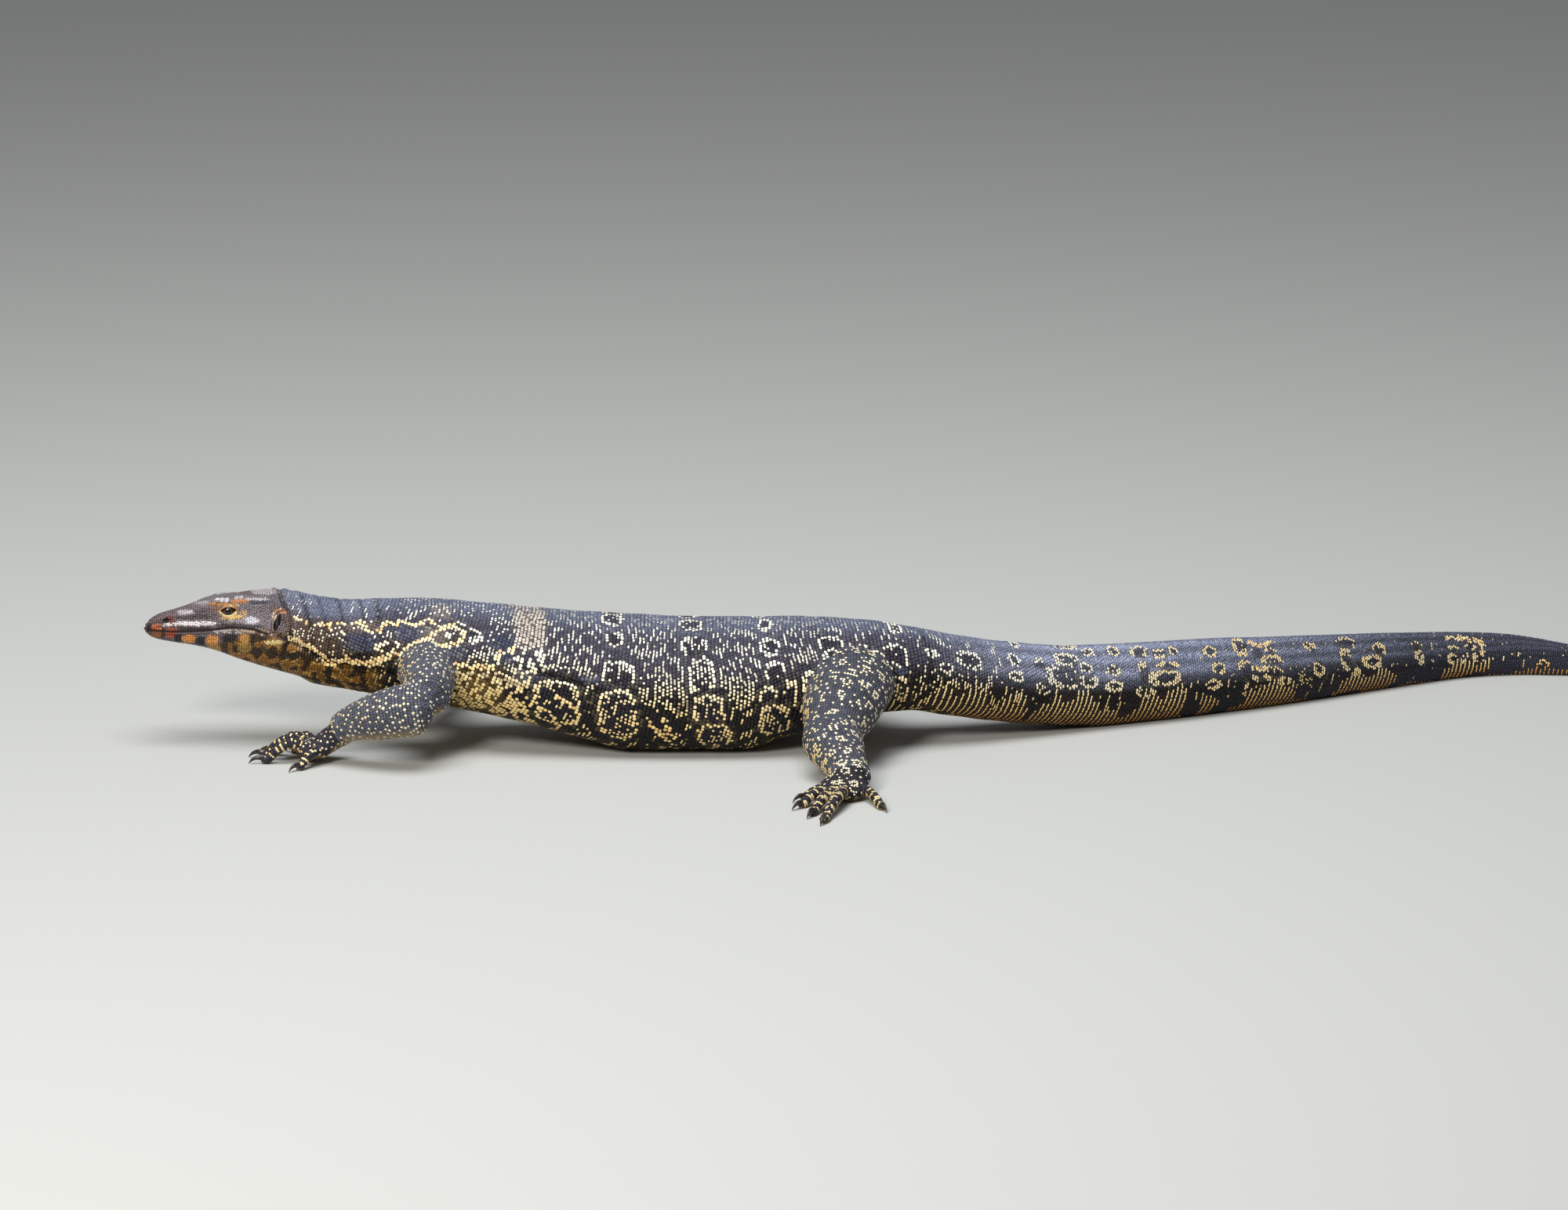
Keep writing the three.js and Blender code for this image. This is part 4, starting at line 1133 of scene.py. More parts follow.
def press_folds(piece):
    """Presses the creases and the soft waves of slack skin into the skin."""
    points, normals = points_of(piece), normals_of(piece)
    pressed = np.zeros(len(points))
    lines, turns = [], np.arange(0, 360, 8.0)
    for depth, width, *pixels in CREASES:
        lines += [(depth, width, fold_line(pixels, side)) for side in (-1, 1)]
    for name in FOLDED_LIMBS:
        shape = form(LEG_FORMS[name])
        for share, depth, width in LIMB_FOLDS:
            lines.append((depth, width, form_point(shape, share * shape["length"], turns)))
    for depth, width, line in lines:
        low, high = line.min(axis=0) - 4 * width, line.max(axis=0) + 4 * width
        near = np.nonzero(np.all((points > low) & (points < high), axis=1))[0]
        if len(near) == 0:
            continue
        reach = np.min(np.linalg.norm(points[near, None] - line[None], axis=2), axis=1)
        push = -depth * (bell(reach / width) - 0.35 * bell((reach - 1.9 * width) / width))
        pressed[near] = np.minimum(pressed[near], push) + np.maximum(0, push)
    x, y, z = points.T
    waves = np.sin(x / 13 + 2 * np.sin(z / 19)) * np.sin(z / 17 + y / 23)
    waves = waves + 0.6 * np.sin(x / 6.1 + y / 9 + z / 11)
    slack = smooth_step(-300, -200, x) * (1 - smooth_step(250, 420, x))
    move_points(piece, floor_pressed(points + normals * (pressed + SLACK_DEPTH * waves * slack)[:, None]))


# Coat: every scale is a low dome of six sides, its rim sunk in the skin
# Each scale's colour is painted darker towards its sunk rim and a little brighter at its top: painted
# shade and painted light across the dome
DARK_SPREAD = 0.78
BORDER = 0.12
RIM_SHADE = 0.40
BORDER_SHADE = 0.75
SHOULDER_SHADE = 0.96
TOP_SHADE = 1.05
SCALE_REACH = (0.625, 0.577)
ROW_SIZES = np.array([
    # x, distance between rows, distance between scales in a row
    (-446, 1.9, 1.9), (-330, 2.1, 2.1), (-300, 2.6, 2.5), (-230, 3.0, 2.9), (190, 3.0, 3.0),
    (250, 2.25, 2.8), (600, 2.05, 2.3), (900, 1.9, 1.8), (TAIL_END, 1.6, 1.3),
])
ROW_LEAN = np.array([
    # x, then how far forward the rows run for each millimetre down: on back, side and lower side
    (-446, 0, 0, 0), (-350, 0, 0, 0), (-312, 0.35, 0.25, 0.1), (-275, 0.5, 0.3, 0.15),
    (-235, 0.25, 0.3, 0.25), (-180, 0.1, 0.3, 0.38), (-120, 0.06, 0.26, 0.38), (-60, 0, 0.12, 0.3),
    (20, 0, -0.12, 0.22), (100, 0, -0.26, 0.16), (170, 0, -0.12, 0.2), (250, 0, 0.04, 0.24),
    (420, 0, 0.04, 0.26), (700, 0, 0, 0.15), (TAIL_END, 0, 0, 0),
])
LEAN_SHARES = (0.03, 0.16, 0.36, 0.56)
COAT_START = -445.8
SCATTER_ALONG, SCATTER_ROUND = 0.07, 0.12
STRETCH = (0.6, 1.5)
MOST_LEAN = 0.7
BELLY_SPAN = (-240, 200)
BELLY_EDGE = (0.66, 0.8)


def row_place(x, rounds):
    """Where a row that starts at a station on the back runs, as stations at distances round."""
    share = rounds / rounds[-1]
    slopes = [0.0, *[float(np.interp(x, ROW_LEAN[:, 0], ROW_LEAN[:, k])) for k in (1, 2, 3)]]
    lean = np.interp(share, LEAN_SHARES, slopes)
    shift = np.append(0, np.cumsum(0.5 * (lean[1:] + lean[:-1]) * np.diff(rounds)))
    wave = 0.8 * np.sin(rounds / 16 + x / 29) + 0.45 * np.sin(rounds / 7.1 - x / 17)
    calm = np.interp(x, (-446, -330, -250, 700, TAIL_END), (0.2, 0.5, 1, 0.8, 0.2))
    return np.clip(x - shift + calm * wave, COAT_START, TAIL_END - 0.3)


def body_rows():
    """Stations and angles of all scales on head, neck, trunk and tail, row by row."""
    found = []
    x, row = COAT_START, 0
    while x < TAIL_END - 0.5:
        pitch, bead = [float(np.interp(x, ROW_SIZES[:, 0], ROW_SIZES[:, k])) for k in (1, 2)]
        rounds = lengths_along(body_point(np.full(HALF_ANGLES.shape, x), HALF_ANGLES))
        total = rounds[-1]
        wider = 0.5 if BELLY_SPAN[0] < x < BELLY_SPAN[1] else 0.25
        belly = 1 + wider * smooth_step(*BELLY_EDGE, rounds / total)
        steps = np.diff(rounds) * 0.5 * (1 / (bead * belly[1:]) + 1 / (bead * belly[:-1]))
        counts = np.append(0, np.cumsum(steps))
        here, ahead = row_place(x, rounds), row_place(x + 1, rounds)
        for side in (-1, 1):
            offset = 0.5 * (row % 2)
            first = 1 if side > 0 and offset == 0 else 0
            bead_at = np.arange(first, counts[-1] - offset) + offset
            count = len(bead_at)
            around = np.interp(bead_at, counts, rounds) + SCATTER_ROUND * bead * CHANCE.normal(size=count)
            angle = np.interp(around, rounds, HALF_ANGLES)
            station = np.interp(around, rounds, here) + SCATTER_ALONG * pitch * CHANCE.normal(size=count)
            stretch = np.clip(np.interp(around, rounds, ahead - here), *STRETCH)
            lean = np.interp(around, rounds, -np.gradient(here, rounds))
            found.append(np.stack([
                station, angle if side < 0 else 360 - angle, around, around / total,
                np.full(count, side), np.full(count, row), np.floor(bead_at), pitch * stretch,
                bead * np.interp(around, rounds, belly), np.clip(lean, -MOST_LEAN, MOST_LEAN),
            ], -1))
        x += pitch * math.cos(turn_at(x))
        row += 1
    return np.concatenate(found)


BROW_PLATES = (-391, -363)
BARE_NOSTRIL = 2.9
BARE_LIPS = 3.3


def on_brow(x, z, above):
    """Whether places lie where the brow plates are."""
    return (x > BROW_PLATES[0]) & (x < BROW_PLATES[1]) & (z > above)


def in_almond(x, z, margin):
    """Whether places seen from the side lie between the lids, or less than a margin outside."""
    dx, dz = x - EYE["x"], z - EYE["z"] - EYE_OPENING["rise"]
    half = EYE_OPENING["length"] / 2 + margin
    t = np.clip(dx / half, -1, 1)
    up = (EYE_OPENING["up"] + margin) * (1 - t * t)
    down = (EYE_OPENING["down"] + margin) * (1 - t * t)
    return (np.abs(dx) < half) & (dz < up) & (dz > -down)


def in_socket(points):
    """Whether places lie on the hollow behind the lids."""
    apart = np.abs(points[:, 1]) - EYE["side"]
    away = np.stack([points[:, 0] - EYE["x"], apart, points[:, 2] - EYE["z"]], -1)
    return np.linalg.norm(away, axis=1) < EYE["radius"] + 0.3


def bare_on_head(points):
    """Where the small scales of the head leave room: eye, nostril, ear, lips and brow plates."""
    x, y, z = points.T
    side = np.abs(y)
    eye = in_almond(x, z, 1.0) & (side > 9)
    nostril = (nostril_reach(x, z, 1.2) < BARE_NOSTRIL) & (side > 3)
    ear = (ear_reach(x, z, 0.1) < 1) & (side > EAR_SIDE)
    lips = (mouth_reach(x, z) < BARE_LIPS) & (x < MOUTH_CORNER + 3) & (side > 1.5)
    lips |= (np.abs(z - HEAD[0, MOUTH]) < 2.4) & (x < -443)
    brow = on_brow(x, z, 124) & (side > 5.4) & (side < 15.5)
    return eye | nostril | ear | lips | brow


def scale_group(kind, piece, place, ahead, length, width, height, root, **facts):
    """A group of scales: what each belongs to, where it sits, its run, its size and its root."""
    facts.update(kind=kind, piece=np.array(piece), place=place, ahead=ahead, length=length, width=width,
                 height=height, root=root)
    return facts


BODY_PIECES = (
    # name, where it ends
    ("coat_head", HEAD_END), ("coat_neck", -238), ("coat_trunk_front", -110), ("coat_trunk_middle", 0),
    ("coat_trunk_rear", 105), ("coat_hips", 205), ("coat_tail_base", 320), ("coat_tail_middle", 500),
    ("coat_tail_rear", 700), ("coat_tail_tip", TAIL_END + 1),
)


def body_group():
    """The scales of head, neck, trunk and tail."""
    table = body_rows()
    place = body_point(table[:, 0], table[:, 1])
    keep = ~((table[:, 0] < HEAD_END) & bare_on_head(place))
    x, degrees, around, share, side, row, bead, pitch, width, lean = table[keep].T
    place = place[keep]
    ahead = unit(body_point(x + 0.4, degrees) - body_point(x - 0.4, degrees))
    down = unit(body_point(x, degrees - 0.5 * side) - body_point(x, degrees + 0.5 * side))
    ahead = unit(ahead + lean[:, None] * down)
    ends = np.array([end for _, end in BODY_PIECES])
    starts = np.append(-446.5, ends[:-1])
    which = np.searchsorted(ends, x, side="right")
    piece = np.array([name for name, _ in BODY_PIECES])[which]
    root = np.stack([(x - starts[which]) / (ends[which] - starts[which]), 0.5 + 0.5 * side * share], -1)
    height = np.interp(x, (-446, -330, -250, 300, 700, TAIL_END), (0.26, 0.32, 0.55, 0.5, 0.42, 0.3))
    height = height * (1 - 0.35 * smooth_step(*BELLY_EDGE, share))
    spread = np.interp(x, (-446, -335, -300), (0.88, 0.86, DARK_SPREAD))
    return scale_group("body", piece, place, ahead, pitch, width, height, root, x=x, around=around,
                       share=share, side=side, row=row, bead=bead, spread=spread)


BROW_ROWS = (
    # out from the row's inner end, height, length, width, thickness
    (3.4, 127.5, 4.3, 7.4, 0.5), (8.0, 126.5, 3.9, 2.6, 0.4),
)
BROW_COUNT = 7
BROW_PLATE_X = (-389.5, -365)
BROW_INNER = (6.6, 0.9)
LIP_ROWS = (
    # above the mouth line, share of the plate's size
    (2.0, 1.0), (-2.0, 1.06),
)
LIP_START = -443.0
LIP_PLATE = {"width": 2.9, "height": 0.42, "spacing": 0.93}
LID_ROWS = (
    # distance outside the lids, size and height of the beads
    (0.75, 1.25, 0.42), (1.9, 1.5, 0.34),
)
LID_SIDE = 22.2
SNOUT_PLATE = {"x": -446.9, "across": (-3.2, 0, 3.2), "heights": (100.7, 96.9), "size": (2.4, 3.1, 0.4)}


def head_plates():
    """Brow plates, lip plates and the beads along the lids."""
    rows = []
    for side in (-1, 1):
        for k in range(BROW_COUNT):
            x = mix(*BROW_PLATE_X, k / (BROW_COUNT - 1))
            inner = BROW_INNER[0] + BROW_INNER[1] * math.sin(math.pi * k / (BROW_COUNT - 1))
            rows += [(x, side * (inner + out), *z_and_size) for out, *z_and_size in BROW_ROWS]
        x = LIP_START
        while x < MOUTH_CORNER + 2:
            mouth = float(head_size(MOUTH, x))
            size = float(np.interp(x, (LIP_START, -420, MOUTH_CORNER), (2.4, 3.1, 2.5)))
            for rise, share in LIP_ROWS:
                y = side * side_at(x, mouth + rise)
                rows.append((x, y, mouth + rise, size * share, LIP_PLATE["width"], LIP_PLATE["height"]))
            x += size * LIP_PLATE["spacing"]
        outline = almond(46)
        outward = unit(outline * (1 / 7.0, 1 / 3.3))
        for out, size, height in LID_ROWS:
            for k, (dx, dz) in enumerate(outline + outward * out):
                if out < 1 or k % 6 != 5:
                    rows.append((EYE["x"] + dx, side * LID_SIDE, EYE["z"] + dz, size, size, height))
    for y in SNOUT_PLATE["across"]:
        rows += [(SNOUT_PLATE["x"], y, z, *SNOUT_PLATE["size"]) for z in SNOUT_PLATE["heights"]]
    table = np.array(rows)
    x, y, z, length, width, height = table.T
    round_head = 0.5 + 0.03 * np.sign(y) + y / 90 + (z - 110) / 300
    root = np.stack([(x + 447.5) / 133.5, round_head], -1)
    ahead = np.tile((1.0, 0.0, 0.0), (len(table), 1))
    ahead[x < -446.5] = (0, 1, 0)
    piece = np.full(len(table), "coat_head")
    return scale_group("plates", piece, table[:, :3], ahead, length, width, height, root)


STRETCH_LIMIT = 1.35
FIRST_ROW = 0.6


def form_group(kind, piece, rows, row, bead, tile, tiles, height=0.5):
    """Rows of scales round a leg, palm or toe: those of the fore legs carry even dots."""
    shape = form(rows)
    found = []
    angles = np.arange(0, 361, 6.0)
    for k in range(int((shape["length"] - 1.2) / row) + 1):
        place = FIRST_ROW + k * row
        rounds = lengths_along(form_point(shape, np.full(angles.shape, place), angles))
        number = max(5, round(rounds[-1] / bead))
        for share in ((np.arange(number) + 0.5 * (k % 2)) / number) % 1:
            degrees = np.interp(share * rounds[-1], rounds, angles)
            found.append((place, degrees, share, rounds[-1] / number))
    place, degrees, share, width = np.array(found).T
    points = form_point(shape, place, degrees)
    step = (form_point(shape, place + 0.4, degrees) - form_point(shape, place - 0.4, degrees)) / 0.8
    keep = (np.linalg.norm(step, axis=1) < STRETCH_LIMIT) | (kind == "toe")
    place, degrees, share, width = np.array(found)[keep].T
    points, step = points[keep], step[keep]
    count = len(place)
    root = np.stack([(tile + 0.04 + 0.92 * place / shape["length"]) / tiles, share], -1)
    return scale_group(kind, np.full(count, piece), points, unit(step), np.full(count, row), width,
                       np.full(count, height), root, along=place, whole=np.full(count, shape["length"]),
                       degrees=degrees, dotted="fore" in piece)


def leg_groups():
    """The scales of legs, palms and toes, with the tile of the map that each form has."""
    groups = []
    for side in ("left", "right"):
        foreleg, hind_leg = f"coat_{side}_foreleg", f"coat_{side}_hind_leg"
        for k, name in enumerate(("arm", "forearm")):
            groups.append(form_group("leg", foreleg, LEG_FORMS[f"{side}_{name}"], LEG_ROW, LEG_BEAD, k, 2))
        whole_leg = LEG_FORMS[f"{side}_thigh"] + LEG_FORMS[f"{side}_shank"][1:]
        groups.append(form_group("leg", hind_leg, whole_leg, LEG_ROW, LEG_BEAD, 0, 1))
    for foot in FEET:
        piece = f"coat_{foot}"
        palm, toes, _ = foot_forms(foot)
        groups.append(form_group("palm", piece, palm, TOE_ROW, TOE_BEAD, 0, 6, 0.4))
        for k, rows in enumerate(toes, 1):
            groups.append(form_group("toe", piece, rows, TOE_ROW, TOE_BEAD, k, 6, 0.42))
    return groups


LID_REACH = 9.5
SEAT_REACH = 7.0
OUTSIDE = 40
DEEPEST_SEAT = 2.4
BESIDE_EARLIER = 1.5


def seat(tree, point):
    """Where a scale sits on the skin: the nearest place, or on the lids the one seen from the side."""
    if math.hypot(point[0] - EYE["x"], point[2] - EYE["z"]) > LID_REACH or abs(point[1]) < LID["side"]:
        spot, normal, index, _ = tree.find_nearest(point, SEAT_REACH)
        if spot is None or (Vector(point) - spot).dot(normal) < -DEEPEST_SEAT:
            return None, 0
        return spot, index
    side = math.copysign(1, point[1])
    spot, _, index, _ = tree.ray_cast(Vector((point[0], side * OUTSIDE, point[2])), Vector((0, -side, 0)))
    if spot is None or abs(spot.y) < EYE["side"] - 2:
        return None, 0
    return spot, index


def settle(groups, piece):
    """Puts every scale on the skin, and drops those inside it or on another form's scales."""
    points, normals = points_of(piece), normals_of(piece)
    faces = np.array([tuple(p.vertices) for p in piece.data.polygons])
    tree = BVHTree.FromPolygons([Vector(p) for p in points], faces.tolist())
    placed = []
    for level in (("body", "plates"), ("leg",), ("palm",), ("toe",)):
        earlier = point_tree(placed) if placed else None
        for group in [g for g in groups if g["kind"] in level]:
            count = len(group["place"])
            keep = np.zeros(count, bool)
            spots, face = np.zeros((count, 3)), np.zeros(count, int)
            for k, point in enumerate(group["place"]):
                spot, index = seat(tree, point)
                if spot is None or (earlier and earlier.find(spot)[2] < BESIDE_EARLIER):
                    continue
                keep[k] = True
                spots[k], face[k] = spot, index
            for name, values in list(group.items()):
                if isinstance(values, np.ndarray):
                    group[name] = values[keep]
            group["place"] = spots[keep]
            group["out"] = unit(normals[faces[face[keep]]].mean(axis=1))
            placed += [tuple(p) for p in group["place"]]


# Markings: spots of the head, among them painted highlights and painted shade, then how long the runs of
# light and dark scales are
HEAD_SPOTS_SHADE_AND_HIGHLIGHTS = (
    # pixel across, pixel down, half width, half height, colour, strength
    # painted highlights: crown (338, 755), snout top (237, 782) and (258, 769), upper lip (249, 796) and
    # (214, 797), brow (284, 765) and (305, 762), behind the eye (328, 764.5) and cheek (321, 792); painted
    # shade under the upper lip: (257, 803) and (306, 799.5)
    (300, 768, 60, 9, "7c7478", 0.6), (262, 790, 40, 12, "665a5e", 0.7),
    (330, 792, 28, 16, "7a7074", 0.8), (338, 755, 17, 4, "b2a9ab", 0.7),
    (237, 782, 11, 3.6, "c2bcc2", 0.8), (258, 769, 11, 2.2, "aaa3a8", 0.7),
    (247, 787, 26, 2.6, "453a40", 0.7), (257, 803, 30, 2.6, "332624", 0.9),
    (249, 796, 29, 3.0, "e2dada", 0.9), (214, 797, 6, 2.2, "f0e8e0", 0.85),
    (216, 791, 6.5, 5, "74352c", 0.9), (199, 801, 7, 4.5, "b5602f", 0.9),
    (191, 801.5, 3.4, 4.6, "1a1414", 0.95), (200, 810, 11, 3.6, "8a5026", 0.9),
    (208, 808, 2.6, 7, "221918", 0.8), (218.5, 807, 6.6, 7, "a0452a", 0.9),
    (227, 815, 5, 6, "1a1518", 0.95), (241, 815, 8.2, 5.6, "d88c3c", 0.95),
    (256, 818.5, 6.2, 6.4, "181417", 0.95), (271, 817, 8.0, 6, "d8924a", 0.95),
    (273, 827, 8, 5, "b08a44", 0.7), (290, 806, 19, 2.6, "c6bab6", 0.85),
    (293, 815, 10.5, 6.6, "1d1919", 0.95), (312.7, 815, 6.5, 5.2, "c8924c", 0.9),
    (312, 826, 9, 7, "a8823e", 0.7), (327, 815, 8, 4.6, "221d17", 0.85),
    (335, 829, 6.5, 5, "221d17", 0.8), (325, 805, 20, 2.2, "c2aa90", 0.8),
    (306, 799.5, 30, 2.0, "44343a", 0.8), (349, 820, 13, 2.4, "f2dc9e", 0.9),
    (369, 830, 10, 7, "221c15", 0.85), (283, 771, 19, 3.0, "b07a44", 0.9),
    (306, 767.5, 11, 3.0, "b47440", 0.9), (293, 773, 11, 1.6, "dcc08a", 0.85),
    (296, 787.5, 14, 3.0, "e2ba6c", 0.9), (311, 782, 5, 4, "c29a68", 0.7),
    (274, 778, 6, 4.6, "84604e", 0.6), (331, 769, 15, 2.4, "2b2c36", 0.85),
    (328, 764.5, 14, 1.8, "c2bcc0", 0.75), (284, 765, 9, 2.2, "cec8cc", 0.8),
    (305, 762, 8, 2.2, "c2bbc0", 0.7), (321, 792, 9, 4.6, "d8d4dc", 0.85),
    (301, 793, 12, 2.4, "a49ca2", 0.6), (350, 770, 7, 12, "5c545a", 0.6),
    (359, 779, 9, 3.6, "c27f4c", 0.95), (350, 787, 3, 5, "d8c0a4", 0.9),
    (368, 800, 4.4, 12, "5a4636", 0.8), (349, 801, 4, 8, "7c665e", 0.7),
    (357, 810, 6, 4, "8f6c50", 0.7), (340, 806, 12, 3, "8a6c5c", 0.6),
    (341, 809, 7, 2.2, "d8bc98", 0.8),
)
RUN_LENGTHS = (1, 2, 2, 3, 3, 4)
RUN_GAPS = (2, 3, 4, 5)
STROKE_LENGTHS = (2, 3, 4, 5, 6)
STROKE_GAPS = (1, 1, 2)


def painted(colours, colour, share):
    """Colours with one colour laid over each by a share."""
    return mix(colours, colour, np.clip(share, 0, 1)[:, None])


def run_table(rows, beads, lengths=RUN_LENGTHS, gaps=RUN_GAPS):
    """Runs of light beads down each row of scales: 0 in the gaps, and a random share in each run."""
    table = np.zeros((2, rows, beads))
    for line in table.reshape(-1, beads):
        at = CHANCE.integers(0, 6)
        while at < beads:
            length = CHANCE.choice(lengths)
            line[at:at + length] = CHANCE.uniform(0.01, 1)
            at += length + CHANCE.choice(gaps)
    return table


def ring_reach(x, around, box):
    """How far out a place lies on an eye-like ring, 1 on its rim, and the ring's smaller half size."""
    cx, ca, hx, ha = box
    return boxy_reach((x - cx) / hx, (around - ca) / ha, 2.3 if hx < 11 else 3.2), min(hx, ha)


def body_ground(x, share, streak):
    """The dark ground: slate on the back lightened by painted blue sheen, near black low on the side and
    partly painted shade there, and the same down the tail, with painted sheen on its top and painted light
    and shade along its ridges.
    """
    tail = smooth_step(195, 310, x)
    ground = np.tile(BACK_BLUE_AND_SHEEN, (len(x), 1))
    ground = painted(ground, FLANK_SLATE, smooth_step(0.06, 0.24, share))
    # near black low on the side: the hide's dark lower side, deepened as painted shade
    ground = painted(ground, FLANK_BLACK, smooth_step(0.30, 0.50, share))
    # painted sheen: the upper side of the tail is lighter and bluer
    ground = painted(ground, TAIL_BLUE_AND_SHEEN, tail * (1 - smooth_step(0.28, 0.5, share)))
    ground = painted(ground, TAIL_DARK, smooth_step(360, 740, x) * 0.85)
    # painted light and shade: lengthwise bands, lighter on the ridges and darker in the valleys between,
    # on the tail's upper side
    ridge_sheen_and_shade = 1 + 0.32 * tail * np.cos(2 * np.pi * (7.2 * share - 0.45)) * (share < 0.62)
    return ground * ((0.80 + 0.40 * streak) * ridge_sheen_and_shade)[:, None]


def scattered_light(x, share, row, bead, side):
    """Light dashes on back and side, dots low on the side, by rows: strength and kind."""
    count = len(x)
    row, bead, half = row.astype(int), bead.astype(int), (side > 0).astype(int)
    run = run_table(row.max() + 1, bead.max() + 1)[half, row, bead]
    chance = CHANCE.random(count)
    tail = smooth_step(215, 320, x)
    neck = 1 - smooth_step(-275, -190, x)
    hip = smooth_step(110, 200, x)
    strength = mix(0.26, 1.0, smooth_step(0.05, 0.17, share)) * mix(0.52, 0.95, run)
    dash = (run > 0.04 + 0.78 * neck + 0.48 * hip + 0.46 * tail) & (share < 0.42 + 0.05 * np.sin(x / 23))
    dot = (chance < 0.58 - 0.3 * hip - 0.27 * tail) & (share >= 0.38)
    dot &= share < 0.54 + 0.04 * np.sin(x / 15)
    short = (run > 0.16 + 0.2 * hip + 0.5 * tail) & (share >= 0.46) & (share < 0.76) & ~dot
    small = (chance > 0.95 + 0.025 * tail) & (share < 0.6)
    light = np.where(dash, strength, 0)
    light = np.where((dot | short) & ~dash, 1.0, light)
    light = np.where(small, 0.5, light)
    return light * (1 - 0.2 * neck), dash | short


BAR_ROW = 884
MARBLE_WAVES = (
    # turns in x, y and z for each wave, and where it starts
    (1.00, 0.35, 0.20, 0.3), (0.45, 0.95, -0.50, 1.9), (-0.70, 0.60, 0.85, 4.1), (0.25, -0.80, 1.05, 2.6),
    (1.30, 0.75, -0.65, 5.2), (-0.20, 1.40, 0.60, 0.9),
)


def marbled(points, size=2.4):
    """Black and yellow shares of the marbling under chin and throat."""
    x, y, z = points.T
    value = sum(np.sin((x * a + np.abs(y) * b + z * c) / size + d) for a, b, c, d in MARBLE_WAVES) / 2.4
    return smooth_step(0.0, 0.2, value), bell((value + 0.45) / 0.2)


